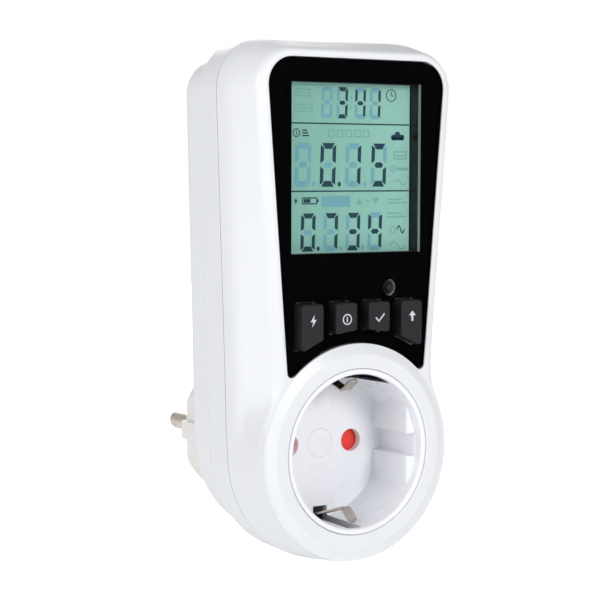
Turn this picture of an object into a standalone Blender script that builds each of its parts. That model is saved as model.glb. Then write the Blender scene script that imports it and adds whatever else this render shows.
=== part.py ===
"""A plug-in power meter: it plugs into a wall socket, and an appliance plugs into it.

The script builds it standing as it does in the wall: +Z up, +Y into the wall, +X to the right
of someone who faces it. The origin is the middle of the plug's end face, between the two pins.

Lengths in this file are millimetres, and the helpers turn them into metres. A "depth" is how far
a plane lies behind the socket's ring face, which is the foremost face of the housing.
"""

import math

import bmesh
import bpy
from mathutils import Matrix, Vector

MM = 0.001
GAP = 0.3  # between pieces that touch
THIN_GAP = 0.15  # round a pin or a clip in its seat

# Depths of the main planes.
PLUG_FACE = 57.8
RIM_FRONT = 1.0
SEAM = 15.0
LEDGE = 25.0
BACK = 40.0
PIN_TIP = PLUG_FACE + 19.0

# The wall-socket standard that both ends follow.
PIN_SPACING = 19.0
PIN_RADIUS = 2.4
RECESS_DEPTH = 17.6
PLUG_RADIUS = 18.5
SIDE_FLAT = 16.3

# The outline of the housing, at one depth: the circle round the socket, the half width of the
# straight sides at two heights, the top edge and the radius of the top corners.
LOW_HEIGHT, HIGH_HEIGHT = 22.0, 88.0
CIRCLE, LOW_WIDTH, HIGH_WIDTH, TOP, CORNER, WAIST_BLEND = range(6)
RIM = (26.9, 21.6, 26.9, 97.8, 8.5, 2.2)
RIM_TURN = (27.2, 22.7, 27.7, 98.3, 9.0, 2.2)
SHOULDER = (27.6, 23.7, 28.5, 98.9, 9.5, 2.2)
BAND = (28.6, 29.2, 31.5, 101.2, 13.0, 1.0)
JOINT = (28.95, 29.75, 32.05, 101.6, 13.0, 1.0)
REAR = (28.6, 29.5, 31.7, 101.3, 13.0, 1.0)
TIER = (25.4, 26.2, 27.8, 97.6, 9.0, 1.0)
SHOULDER_DEPTH, BAND_DEPTH = 2.5, 10.6
WALL = 2.0
LIP_OUT, LIP_IN = 1.4, 2.2  # how far inside the outline the rear housing's lip lies
REBATE = 1.1
FRONT_WALL_BACK = 4.2

# The socket's ring and its insert.
RING_RADIUS, RING_BASE = 24.2, 26.8
INSERT_HOLE = 21.05
INSERT_RADIUS = 20.6
FLOOR_BACK = RECESS_DEPTH + 2.0
CONTACT_HOLE = 2.9
BLOCK_FRONTS, NOTCH_HEIGHT = {1: 2.45, -1: 5.8}, 2.8  # the solid flat at each side, and half its notch
CLIP_FRONT, CLIP_EDGE, CLIP_SLOT = 1.65, 16.2, 2.1  # the earth clips' openings: front, height, half width
CLIP_WIDTH = 2.8
PIVOT_HEAD, PIVOT_SHAFT = 3.5, 1.4

# The black panel: half width at two heights, top edge, and the arc round the ring.
PANEL_LOW, PANEL_HIGH = (23.0, 20.45), (88.5, 25.6)
PANEL_TOP, PANEL_CORNER, PANEL_ARC, PANEL_TIP = 96.3, 6.5, 27.1, 1.2
LENS_FRONT, LENS_BACK = 0.8, 1.8
MASK_FRONT, MASK_BACK = 2.0, 2.6
POCKET_FLOOR = 2.9
WINDOW = (18.9, 49.0, 90.8)  # half width, bottom, top

# The keys under the display.
KEY_CENTRES = (-14.75, -4.9, 4.9, 14.75)
KEY_HALF_WIDTH, KEY_TOP, KEY_CORNER = 3.15, 37.2, 0.9
KEY_ARC_CENTRE, KEY_ARC_RADIUS = -3.6, 34.0
KEY_FRONT, KEY_FLANGE, KEY_BACK = -1.6, 4.7, 5.5
KEY_CLEARANCE = 0.35
SWITCH_HEIGHT = 33.0
RESET_X, RESET_HEIGHT, RESET_RADIUS = 10.4, 40.3, 1.7

# Boards, and the screws that hold the two halves of the housing together.
DISPLAY_BOARD, POWER_BOARD = 10.5, 31.4
BOARD_THICKNESS = 1.6
SCREWS = ((21.6, 90.8), (-21.6, 90.8), (20.9, 22.6), (-20.9, 22.6))
SCREW_SEAT, SCREW_END = 27.9, 12.0


# ---------------------------------------------------------------- materials and objects


def clear_scene():
    for obj in list(bpy.data.objects):
        bpy.data.objects.remove(obj)


def new_collection(name):
    collection = bpy.data.collections.new(name)
    bpy.context.scene.collection.children.link(collection)
    return collection


def material(name, colour, roughness, metallic=0.0, alpha=1.0):
    made = bpy.data.materials.get(name)
    if made is None:
        made = bpy.data.materials.new(name)
        made.use_nodes = True
        shader = made.node_tree.nodes["Principled BSDF"]
        shader.inputs["Base Color"].default_value = (*colour, 1.0)
        shader.inputs["Roughness"].default_value = roughness
        shader.inputs["Metallic"].default_value = metallic
        shader.inputs["Alpha"].default_value = alpha
        made.diffuse_color = (*colour, alpha)
    return made


def white_plastic():
    return material("white_plastic", (0.80, 0.82, 0.86), 0.42)


def warm_plastic():
    return material("warm_plastic", (0.80, 0.79, 0.77), 0.45)


def black_plastic():
    return material("black_plastic", (0.015, 0.015, 0.018), 0.35)


def key_plastic():
    return material("key_plastic", (0.04, 0.04, 0.045), 0.5)


def clear_plastic():
    return material("clear_plastic", (0.9, 0.93, 0.95), 0.05, alpha=0.25)


def red_plastic():
    return material("red_plastic", (0.75, 0.05, 0.03), 0.4)


def nickel():
    return material("nickel", (0.66, 0.60, 0.54), 0.28, metallic=1.0)


def brass():
    return material("brass", (0.72, 0.55, 0.25), 0.35, metallic=1.0)


def board_green():
    return material("board_green", (0.02, 0.16, 0.07), 0.4)


def steel():
    return material("steel", (0.45, 0.45, 0.47), 0.35, metallic=1.0)


def part(name, mesh, surface, location=(0.0, 0.0, 0.0)):
    """A named object in the meter's collection, with its origin at location (mm, Y as a depth)."""
    obj = bpy.data.objects.new(name, mesh)
    mesh.materials.clear()
    mesh.materials.append(surface)
    x, depth, z = location
    obj.location = Vector((x, depth - PLUG_FACE, z)) * MM
    PARTS.objects.link(obj)
    return obj


def helper(obj):
    """Turns an object into a cutter or a piece that another one takes in."""
    for collection in list(obj.users_collection):
        collection.objects.unlink(obj)
    HELPERS.objects.link(obj)
    obj.hide_render = True
    obj.display_type = "WIRE"
    return obj


def boolean(target, other, operation):
    helper(other)
    modifier = target.modifiers.new(other.name, "BOOLEAN")
    modifier.operation = operation
    modifier.solver = "EXACT"
    modifier.object = other


def cut(target, *others):
    for other in others:
        boolean(target, other, "DIFFERENCE")


def join(target, *others):
    for other in others:
        boolean(target, other, "UNION")


def bevel(obj, width, segments=2, angle=40.0):
    modifier = obj.modifiers.new("edges", "BEVEL")
    modifier.width = width * MM
    modifier.segments = segments
    modifier.limit_method = "ANGLE"
    modifier.angle_limit = math.radians(angle)
    modifier.miter_outer = "MITER_ARC" if segments > 1 else "MITER_SHARP"


def smooth(mesh):
    mesh.shade_smooth()
    mesh.set_sharp_from_angle(angle=math.radians(35))
    return mesh


# ---------------------------------------------------------------- shapes


def box_mesh(name, size):
    """A box round its own origin, size in millimetres."""
    shape = bmesh.new()
    bmesh.ops.create_cube(shape, size=1.0)
    bmesh.ops.scale(shape, vec=Vector(size) * MM, verts=shape.verts)
    return finished(shape, name)


def box(name, x, depth, z, surface):
    """A box from its ranges along x, depth and z, with its origin in its middle."""
    ranges = (x, depth, z)
    size = [high - low for low, high in ranges]
    middle = [(low + high) / 2 for low, high in ranges]
    return part(name, box_mesh(name, size), surface, middle)


def finished(shape, name):
    bmesh.ops.recalc_face_normals(shape, faces=shape.faces)
    mesh = bpy.data.meshes.new(name)
    shape.to_mesh(mesh)
    shape.free()
    return mesh


def cylinder(name, centre, radius, depth, surface, sides=24, axis="Y"):
    """A cylinder along an axis: depth is its range along Y, or its length range along X or Z."""
    low, high = depth
    shape = bmesh.new()
    bmesh.ops.create_cone(
        shape, cap_ends=True, segments=sides, radius1=radius * MM, radius2=radius * MM,
        depth=(high - low) * MM,
    )
    turn = {"X": Matrix.Rotation(math.pi / 2, 3, "Y"), "Y": Matrix.Rotation(math.pi / 2, 3, "X"),
            "Z": Matrix.Identity(3)}[axis]
    bmesh.ops.rotate(shape, cent=(0, 0, 0), matrix=turn, verts=shape.verts)
    place = list(centre)
    place["XYZ".index(axis)] = (low + high) / 2
    return part(name, smooth(finished(shape, name)), surface, place)


def turned(name, profile, surface, centre=(0.0, 0.0), steps=48):
    """A profile of (radius, depth) points, deepest first down its outer side, turned about Y."""
    mesh = bpy.data.meshes.new(name)
    points = [(radius * MM, 0.0, (depth - PLUG_FACE) * MM) for radius, depth in profile]
    edges = [(i, i + 1) for i in range(len(points) - 1)]
    closed = profile[0][0] > 0
    if closed:
        edges.append((len(points) - 1, 0))
    mesh.from_pydata(points, edges, [])
    x, z = centre
    obj = part(name, mesh, surface, (x, PLUG_FACE, z))
    obj.rotation_euler = (-math.pi / 2, 0.0, 0.0)
    screw = obj.modifiers.new("turn", "SCREW")
    screw.axis = "Z"
    screw.steps = screw.render_steps = steps
    screw.use_merge_vertices = True
    screw.merge_threshold = 0.00001
    screw.use_smooth_shade = False
    return obj


def plate(name, outline, depth, surface, holes=(), location=(0.0, 0.0)):
    """A flat outline of (x, z) points, with holes, made solid over a range of depth."""
    front, back = depth
    curve = bpy.data.curves.new(name, "CURVE")
    curve.dimensions = "2D"
    curve.fill_mode = "BOTH"
    curve.extrude = (back - front) / 2 * MM
    for loop in (outline, *holes):
        spline = curve.splines.new("POLY")
        spline.points.add(len(loop) - 1)
        for point, (x, z) in zip(spline.points, loop):
            point.co = (x * MM, z * MM, 0.0, 1.0)
        spline.use_cyclic_u = True
    drawn = bpy.data.objects.new(name + "_outline", curve)
    PARTS.objects.link(drawn)
    bpy.context.view_layer.update()
    mesh = bpy.data.meshes.new_from_object(drawn.evaluated_get(bpy.context.evaluated_depsgraph_get()))
    bpy.data.objects.remove(drawn)
    shape = bmesh.new()
    shape.from_mesh(mesh)
    bmesh.ops.remove_doubles(shape, verts=shape.verts, dist=0.000002)
    bmesh.ops.rotate(shape, cent=(0, 0, 0), matrix=Matrix.Rotation(math.pi / 2, 3, "X"), verts=shape.verts)
    bmesh.ops.recalc_face_normals(shape, faces=shape.faces)
    shape.to_mesh(mesh)
    shape.free()
    x, z = location
    return part(name, mesh, surface, (x, (front + back) / 2, z))


def ribbon(name, path, thickness, width, surface, plane="depth_z", offset=0.0):
    """Sheet metal of one thickness, bent along a path and as wide as width across it.

    The path holds (z, depth) points for plane depth_z, with the width along X round offset,
    or (x, depth) points for plane depth_x, with the width along Z.
    """
    points = [Vector(point) for point in path]
    left, right = [], []
    for i, point in enumerate(points):
        before = (point - points[i - 1]).normalized() if i else None
        after = (points[i + 1] - point).normalized() if i + 1 < len(points) else None
        along = ((before or after) + (after or before)).normalized()
        across = Vector((-along.y, along.x))
        lean = across.dot(Vector((-(before or after).y, (before or after).x)))
        step = across * (thickness / 2 / max(lean, 0.4))
        left.append(point + step)
        right.append(point - step)
    loop = left + right[::-1]
    half = width / 2
    shape = bmesh.new()
    rows = []
    for side in (offset - half, offset + half):
        row = []
        for point, depth in loop:
            y = (depth - PLUG_FACE) * MM
            place = (side * MM, y, point * MM) if plane == "depth_z" else (point * MM, y, side * MM)
            row.append(shape.verts.new(place))
        rows.append(row)
        shape.faces.new(row)
    count = len(loop)
    for i in range(count):
        j = (i + 1) % count
        shape.faces.new((rows[0][i], rows[0][j], rows[1][j], rows[1][i]))
    bmesh.ops.triangulate(shape, faces=[face for face in shape.faces if len(face.verts) > 4])
    return part(name, finished(shape, name), surface, (0.0, PLUG_FACE, 0.0))


def wire(name, route, radius, surface):
    """A round wire with filled ends along (x, depth, z) points."""
    curve = bpy.data.curves.new(name, "CURVE")
    curve.dimensions = "3D"
    curve.bevel_depth = radius * MM
    curve.bevel_resolution = 2
    curve.use_fill_caps = True
    spline = curve.splines.new("POLY")
    spline.points.add(len(route) - 1)
    for point, (x, depth, z) in zip(spline.points, route):
        point.co = (x * MM, (depth - PLUG_FACE) * MM, z * MM, 1.0)
    obj = bpy.data.objects.new(name, curve)
    curve.materials.append(surface)
    PARTS.objects.link(obj)
    return obj


def loft(name, rings, surface):
    """A closed solid through rings of (depth, outline), capped at both ends."""
    shape = bmesh.new()
    rows = []
    for depth, outline in rings:
        y = (depth - PLUG_FACE) * MM
        rows.append([shape.verts.new((x * MM, y, z * MM)) for x, z in outline])
    for near, far in zip(rows, rows[1:]):
        for i in range(len(near)):
            j = (i + 1) % len(near)
            shape.faces.new((near[i], near[j], far[j], far[i]))
    shape.faces.new(rows[0])
    shape.faces.new(rows[-1])
    return part(name, smooth(finished(shape, name)), surface, (0.0, PLUG_FACE, 0.0))


# ---------------------------------------------------------------- outlines


def arc(x, z, radius, start, end, steps):
    angles = [math.radians(start + (end - start) * i / steps) for i in range(steps + 1)]
    return [(x + radius * math.cos(a), z + radius * math.sin(a)) for a in angles]


def circle(radius, steps=32, x=0.0, z=0.0):
    return arc(x, z, radius, 0.0, 360.0, steps)[:-1]


def rectangle(half_width, bottom, top):
    return [(-half_width, bottom), (half_width, bottom), (half_width, top), (-half_width, top)]


def mirrored(right):
    """The whole outline from its right half, which starts and ends on the middle line."""
    return right + [(-x, z) for x, z in right[-2:0:-1]]


def rounded(corners, steps=4):
    """An outline of (x, z, radius) corners, each one rounded by its radius."""
    outline = []
    for i, (x, z, radius) in enumerate(corners):
        here = Vector((x, z))
        if radius == 0.0:
            outline.append((x, z))
            continue
        before = (Vector(corners[i - 1][:2]) - here).normalized()
        after = (Vector(corners[(i + 1) % len(corners)][:2]) - here).normalized()
        half = before.angle(after) / 2
        centre = here + (before + after).normalized() * (radius / math.sin(half))
        start = here + before * (radius / math.tan(half)) - centre
        end = here + after * (radius / math.tan(half)) - centre
        turn = math.atan2(start.x * end.y - start.y * end.x, start.dot(end))
        for step in range(steps + 1):
            spoke = start.copy()
            spoke.rotate(Matrix.Rotation(turn * step / steps, 2))
            outline.append(tuple(centre + spoke))
    return outline


def side_width(section, z):
    """The half width of the housing at a height: the socket's circle run smoothly into the side."""
    slope = (section[HIGH_WIDTH] - section[LOW_WIDTH]) / (HIGH_HEIGHT - LOW_HEIGHT)
    side = section[LOW_WIDTH] + slope * (z - LOW_HEIGHT)
    round_part = math.sqrt(max(section[CIRCLE] ** 2 - z**2, 0.0))
    blend = section[WAIST_BLEND] * min(max(z, 0.0) / 8.0, 1.0)
    return (side + round_part + math.hypot(side - round_part, blend)) / 2


def housing_outline(section, inset=0.0):
    """The outline of the housing at one depth, or one that lies inset inside it."""
    shifts = (-inset, -inset, -inset, -inset, -inset, 0.0)
    section = [value + shift for value, shift in zip(section, shifts)]
    radius = section[CIRCLE]
    right = arc(0.0, 0.0, radius, -90.0, -6.0, 11)
    start = section[TOP] - section[CORNER]
    heights = [2.0, 6.0, 9.5, 12.5, 15.0, 17.5, 20.5, 24.0, 30.0, 45.0, 62.0, start]
    right += [(side_width(section, z), z) for z in heights]
    middle = side_width(section, start) - section[CORNER]
    right += arc(middle, start, section[CORNER], 0.0, 90.0, 6)[1:]
    right.append((0.0, section[TOP]))
    return mirrored(right)


def between(first, second, share):
    return [a + (b - a) * share for a, b in zip(first, second)]


def panel_outline(grow=0.0):
    """The black panel: straight sides, round top corners, and an arc that clears the ring."""
    slope = (PANEL_HIGH[1] - PANEL_LOW[1]) / (PANEL_HIGH[0] - PANEL_LOW[0])
    width = PANEL_LOW[1] - slope * PANEL_LOW[0] + grow
    radius = PANEL_ARC - grow
    a, b, c = 1 + slope**2, 2 * width * slope, width**2 - radius**2
    tip_z = (-b + math.sqrt(b**2 - 4 * a * c)) / (2 * a)
    tip_x = width + slope * tip_z
    tip_angle = math.degrees(math.atan2(tip_z, tip_x))
    bottom = arc(0.0, 0.0, radius, 180.0 - tip_angle, tip_angle, 12)[1:-1]
    top = PANEL_TOP + grow
    corners = [(-tip_x, tip_z, PANEL_TIP), *((x, z, 0.0) for x, z in bottom), (tip_x, tip_z, PANEL_TIP)]
    corners += [(width + slope * top, top, PANEL_CORNER), (-width - slope * top, top, PANEL_CORNER)]
    return rounded(corners)


def key_outline(middle, grow=0.0):
    """A key: three straight sides, and a lower side that follows the arc over the socket."""
    def bottom(x):
        return KEY_ARC_CENTRE + math.sqrt(KEY_ARC_RADIUS**2 - x**2) - grow

    left, right = middle - KEY_HALF_WIDTH - grow, middle + KEY_HALF_WIDTH + grow
    top = KEY_TOP + grow
    radius = KEY_CORNER + grow / 2
    return rounded([(left, bottom(left), radius), (middle, bottom(middle), 0.0),
                    (right, bottom(right), radius), (right, top, radius), (left, top, radius)], 3)


def panel_holes(grow):
    holes = [key_outline(middle, grow) for middle in KEY_CENTRES]
    holes.append(circle(RESET_RADIUS + grow, 16, RESET_X, RESET_HEIGHT))
    return holes


# ---------------------------------------------------------------- housing


def front_housing():
    shoulder = between(SHOULDER, BAND, (FRONT_WALL_BACK - SHOULDER_DEPTH) / (BAND_DEPTH - SHOULDER_DEPTH))
    shell = loft("front_housing", [
        (RIM_FRONT, housing_outline(RIM)),
        (RIM_FRONT + 0.35, housing_outline(RIM_TURN)),
        (SHOULDER_DEPTH, housing_outline(SHOULDER)),
        (BAND_DEPTH, housing_outline(BAND)),
        (SEAM, housing_outline(JOINT)),
        (SEAM, housing_outline(JOINT, REBATE)),
        (SEAM - 1.7, housing_outline(JOINT, REBATE)),
        (SEAM - 1.7, housing_outline(BAND, WALL)),
        (FRONT_WALL_BACK, housing_outline(shoulder, WALL)),
    ], white_plastic())
    ring = turned("ring", [(0.0, 3.0), (RING_BASE, 3.0), (RING_BASE, RIM_FRONT),
                           (RING_RADIUS, 0.0), (0.0, 0.0)], white_plastic(), steps=64)
    join(shell, ring)
    for i, (x, z) in enumerate(SCREWS):
        side = math.copysign(1.0, x)
        web = sorted((x, x + side * (9.4 if z > LOW_HEIGHT + 10 else 7.6)))
        join(shell, cylinder(f"boss_{i}", (x, 0, z), 3.0, (10.6, 20.0), white_plastic(), 16),
             box(f"boss_web_{i}", web, (10.7, SEAM - 1.85), (z - 0.8, z + 0.8), white_plastic()))
        cut(shell, cylinder(f"boss_hole_{i}", (x, 0, z), 1.7, (SCREW_END - 0.9, 21.0), white_plastic(), 12))
    cut(shell, cylinder("insert_hole", (0, 0, 0), INSERT_HOLE, (-1.0, 6.0), white_plastic(), 64),
        plate("panel_pocket", panel_outline(0.25), (-1.0, POCKET_FLOOR), white_plastic()),
        box("window_hole", (-WINDOW[0] - 0.1, WINDOW[0] + 0.1), (1.0, 6.0),
            (WINDOW[1] - 0.1, WINDOW[2] + 0.1), white_plastic()))
    for i, outline in enumerate(panel_holes(KEY_CLEARANCE)):
        cut(shell, plate(f"panel_hole_{i}", outline, (1.0, 6.0), white_plastic()))


def rear_housing():
    tier_inner = housing_outline(TIER, WALL)
    shell = loft("rear_housing", [
        (BACK - WALL, tier_inner),
        (LEDGE - WALL, tier_inner),
        (LEDGE - WALL, housing_outline(REAR, LIP_IN)),
        (SEAM - 1.4, housing_outline(JOINT, LIP_IN)),
        (SEAM - 1.4, housing_outline(JOINT, LIP_OUT)),
        (SEAM + GAP, housing_outline(JOINT, LIP_OUT)),
        (SEAM + GAP, housing_outline(JOINT)),
        (LEDGE - 0.8, housing_outline(REAR)),
        (LEDGE, housing_outline(REAR, 0.8)),
        (LEDGE, housing_outline(TIER)),
        (BACK - 2.6, housing_outline(TIER)),
        (BACK - 0.8, housing_outline(TIER, 0.8)),
        (BACK, housing_outline(TIER, 2.6)),
    ], white_plastic())
    for i, (x, z) in enumerate(SCREWS):
        join(shell, cylinder(f"column_{i}", (x, 0, z), 4.4, (20.3, BACK - 1.0), white_plastic(), 20))
        cut(shell, cylinder(f"screw_well_{i}", (x, 0, z), 2.6, (SCREW_SEAT, BACK + 1), white_plastic(), 16),
            cylinder(f"screw_hole_{i}", (x, 0, z), 1.7, (19.0, SCREW_SEAT + 1), white_plastic(), 12))
    cut(shell, cylinder("plug_hole", (0, 0, 0), PLUG_RADIUS + GAP, (BACK - 4, BACK + 1), white_plastic(), 48))


def housing_screws():
    head = SCREW_SEAT + GAP
    for i, (x, z) in enumerate(SCREWS, 1):
        screw = turned(f"housing_screw_{i}", [
            (0.0, head + 1.7), (1.5, head + 1.7), (2.3, head + 0.9), (2.3, head), (1.4, head),
            (1.4, SCREW_END + 1.2), (0.4, SCREW_END), (0.0, SCREW_END),
        ], steel(), (x, z), 12)
        for turn, sizes in enumerate(((1.3, 0.22), (0.22, 1.3))):
            wide, high = sizes
            cut(screw, box(f"screw_slot_{i}_{turn}", (x - wide, x + wide), (head + 0.8, head + 2.5),
                           (z - high, z + high), steel()))


# ---------------------------------------------------------------- display and keys


def display_panel():
    holes = panel_holes(KEY_CLEARANCE)
    plate("display_lens", panel_outline(), (LENS_FRONT, LENS_BACK), clear_plastic(), holes)
    plate("display_mask", panel_outline(-0.1), (MASK_FRONT, MASK_BACK), black_plastic(),
          [*holes, rectangle(*WINDOW)])


def keys():
    for i, middle in enumerate(KEY_CENTRES, 1):
        cap = plate(f"key_{i}", key_outline(middle), (KEY_FRONT, KEY_FLANGE + 0.1), key_plastic())
        bevel(cap, 0.4, 2, 60.0)
        join(cap, plate(f"key_flange_{i}", key_outline(middle, 0.8), (KEY_FLANGE, KEY_BACK), key_plastic()))
        cylinder(f"key_plunger_{i}", (middle, 0, SWITCH_HEIGHT), 1.5, (KEY_BACK + GAP, 7.8), black_plastic(), 16)
        tact_switch(f"key_switch_{i}", middle, SWITCH_HEIGHT, 3.0, 1.8)


def tact_switch(name, x, z, half, well):
    body = box(name, (x - half, x + half), (7.0, DISPLAY_BOARD - GAP), (z - half, z + half), steel())
    cut(body, cylinder(name + "_well", (x, 0, z), well, (6.0, 8.9), steel(), 16))


def reset_button():
    turned("reset_button", [
        (0.0, 7.8), (1.0, 7.8), (1.0, KEY_BACK), (2.35, KEY_BACK), (2.35, KEY_FLANGE),
        (RESET_RADIUS, KEY_FLANGE), (RESET_RADIUS, 2.2), (RESET_RADIUS - 0.3, 1.9), (0.0, 1.9),
    ], key_plastic(), (RESET_X, RESET_HEIGHT), 20)
    tact_switch("reset_switch", RESET_X, RESET_HEIGHT, 2.3, 1.3)


def display_module():
    half, bottom, top = WINDOW
    frame = plate("lcd_frame", rectangle(half + 0.9, bottom - 1.1, top + 1.1), (KEY_FLANGE, 10.2),
                  black_plastic(), [rectangle(half - 0.5, bottom + 0.2, top - 0.2)])
    cut(frame, box("lcd_seat", (-half - 0.1, half + 0.1), (KEY_FLANGE + 0.4, 11.0),
                   (bottom - 0.3, top + 0.3), black_plastic()))
    box("lcd_glass", (-half + 0.2, half - 0.2), (5.4, 8.0), (bottom, top),
        material("lcd_teal", (0.30, 0.60, 0.52), 0.1))
    box("lcd_backlight", (-half + 0.4, half - 0.4), (8.3, 10.0), (bottom + 2.6, top - 2.6),
        material("light_guide", (0.85, 0.88, 0.88), 0.3))
    for name, z in (("zebra_strip_bottom", bottom + 0.1), ("zebra_strip_top", top - 2.2)):
        box(name, (-17.5, 17.5), (8.3, 10.2), (z, z + 2.1), material("zebra_rubber", (0.5, 0.35, 0.4), 0.7))
    box("display_board", (-18.4, 18.4), (DISPLAY_BOARD, DISPLAY_BOARD + BOARD_THICKNESS), (25.8, 91.8),
        board_green())
    back = DISPLAY_BOARD + BOARD_THICKNESS + GAP
    bevel(box("display_controller", (-6.0, 6.0), (back, back + 1.5), (58.0, 70.0), black_plastic()), 0.3, 1)


# ---------------------------------------------------------------- electronics


def power_supply():
    board = POWER_BOARD
    top = board - GAP
    box("power_board", (-20.0, 20.0), (board, board + BOARD_THICKNESS), (29.5, 85.5), board_green())
    bevel(box("film_capacitor", (-18.0, 0.0), (17.0, top), (37.0, 45.0),
              material("capacitor_yellow", (0.75, 0.52, 0.08), 0.4)), 0.8)
    bevel(cylinder("varistor", (0, 25.4, 38.5), 5.2, (9.0, 13.4),
                   material("varistor_blue", (0.05, 0.16, 0.45), 0.45), 24, "X"), 0.8)
    bevel(cylinder("filter_capacitor", (12.0, 0, 55.0), 5.0, (18.5, top),
                   material("capacitor_sleeve", (0.04, 0.05, 0.12), 0.35), 24), 0.5)
    fuse = cylinder("fuse", (-17.0, 27.8, 0), 2.6, (50.0, 70.0), material("fuse_ceramic", (0.8, 0.76, 0.68), 0.4),
                    20, "Z")
    bevel(fuse, 0.3, 1)
    bevel(box("metering_chip", (-10.0, -2.5), (top - 1.8, top), (53.0, 63.0), black_plastic()), 0.3, 1)
    box("board_header", (-6.4, 6.4), (DISPLAY_BOARD + BOARD_THICKNESS + GAP, top), (47.0, 49.6), black_plastic())
    bevel(cylinder("battery_pack", (0, 22.6, 77.0), 7.8, (-11.0, 11.0),
                   material("battery_sleeve", (0.05, 0.30, 0.12), 0.4), 28, "X"), 0.8)
    ribbon("shunt_strip", [(4.0, top), (4.0, 27.0), (16.0, 27.0), (16.0, top)], 0.8, 2.6,
           material("manganin", (0.62, 0.42, 0.30), 0.35, metallic=1.0), "depth_x", 31.6)


# ---------------------------------------------------------------- socket


def insert_block(side):
    """The solid flat at one side of the recess, with the notch for the plug's rib."""
    edge = math.degrees(math.acos(SIDE_FLAT / 20.0))
    outline = arc(0.0, 0.0, 20.0, -edge, edge, 10)
    high = NOTCH_HEIGHT
    outline += [(SIDE_FLAT, high), (18.8, high), (18.8, -high), (SIDE_FLAT, -high)]
    if side < 0:
        outline = [(-x, z) for x, z in outline[::-1]]
    name = "block_right" if side > 0 else "block_left"
    return plate(name, outline, (BLOCK_FRONTS[side], RECESS_DEPTH + 1.0), white_plastic())


def socket_insert():
    cup = turned("socket_insert", [
        (0.0, FLOOR_BACK), (INSERT_RADIUS, FLOOR_BACK), (INSERT_RADIUS, 6.2), (24.0, 6.2),
        (24.0, 4.7), (INSERT_RADIUS, 4.7), (INSERT_RADIUS, 0.4), (20.35, 0.1), (20.0, 0.1),
        (19.75, 0.4), (18.9, RECESS_DEPTH), (0.0, RECESS_DEPTH),
    ], white_plastic(), steps=64)
    join(cup, insert_block(1), insert_block(-1))
    for side in (-1, 1):
        cut(cup, cylinder(f"contact_hole_{side}", (side * PIN_SPACING / 2, 0, 0), CONTACT_HOLE,
                          (16.0, 21.0), white_plastic(), 24))
    reach = INSERT_RADIUS + GAP / 2
    end = math.degrees(math.asin(CLIP_EDGE / reach))
    cut(cup, plate("top_opening", arc(0.0, 0.0, reach, end, 180.0 - end, 12), (CLIP_FRONT, 21.0), white_plastic()),
        box("bottom_slot", (-CLIP_SLOT, CLIP_SLOT), (CLIP_FRONT, 21.0), (-reach, -CLIP_EDGE), white_plastic()))
    cut(cup, cylinder("pivot_seat", (0, 0, 0), PIVOT_HEAD + 0.2, (16.0, 18.7), white_plastic(), 24),
        cylinder("pivot_hole", (0, 0, 0), PIVOT_SHAFT + GAP, (16.0, 21.0), white_plastic(), 16))


def shutter():
    front = FLOOR_BACK + GAP
    back = front + 1.6
    reach = PIN_SPACING / 2
    outline = arc(reach, 0.0, 4.0, -90.0, 90.0, 10) + arc(-reach, 0.0, 4.0, 90.0, 270.0, 10)
    rotor = plate("shutter_rotor", outline, (front, back), red_plastic(), [circle(PIVOT_SHAFT + GAP, 16)])
    bevel(rotor, 0.25, 1, 60.0)
    turned("shutter_pivot", [
        (0.0, 23.4), (PIVOT_SHAFT, 23.4), (PIVOT_SHAFT, 18.5), (PIVOT_HEAD, 18.5), (PIVOT_HEAD, 17.5),
        (0.0, 17.5),
    ], white_plastic(), steps=24)
    turns, steps = 2.25, 12
    coil = []
    for i in range(int(turns * steps) + 1):
        angle = 2 * math.pi * i / steps
        coil.append((3.4 * math.cos(angle), back + 0.7 + 0.75 * i / steps, 3.4 * math.sin(angle)))
    wire("shutter_spring", coil, 0.28, steel())


def contact_carrier():
    carrier = plate("contact_carrier", circle(18.9, 48), (21.8, 25.0), warm_plastic(),
                    [circle(CONTACT_HOLE, 20, side * PIN_SPACING / 2) for side in (-1, 1)])
    cut(carrier, cylinder("spring_pocket", (0, 0, 0), 4.6, (21.0, 24.4), warm_plastic(), 24))
    for side in (-1, 1):
        low, high = sorted((side * 16.4, side * 20.0))
        cut(carrier, box(f"carrier_slot_{side}", (-3.2, 3.2), (21.0, 26.0), (low, high), warm_plastic()))


def contacts():
    for name, side in (("live_contact", 1), ("neutral_contact", -1)):
        outline = [(7.0, 2.55), (12.0, 2.55), (12.0, -2.55), (7.0, -2.55),
                   (7.0, -3.25), (12.7, -3.25), (12.7, 3.25), (7.0, 3.25)]
        if side < 0:
            outline = [(-x, z) for x, z in outline[::-1]]
        plate(name, outline, (25.4, 34.2), brass())
    for name, side in (("live_busbar", 1), ("neutral_busbar", -1)):
        path = [(side * 13.4, 26.0), (side * 13.4, 37.1), (side * 7.0, 37.1)]
        ribbon(name, path, 0.7, 4.6, brass(), "depth_x")
    for name, side in (("live_wire", 1), ("neutral_wire", -1)):
        x = side * 14.2
        route = [(x, 30.0, 2.65), (x, 29.6, 6.0), (x + side * 0.6, 28.4, 12.0), (x + side * 0.6, 28.0, 19.0),
                 (x, 28.4, 24.0), (x - side * 0.4, 28.8, 29.2)]
        surface = material(name, (0.30, 0.12, 0.05) if side > 0 else (0.05, 0.12, 0.45), 0.5)
        wire(name, route, 1.1, surface)


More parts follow.
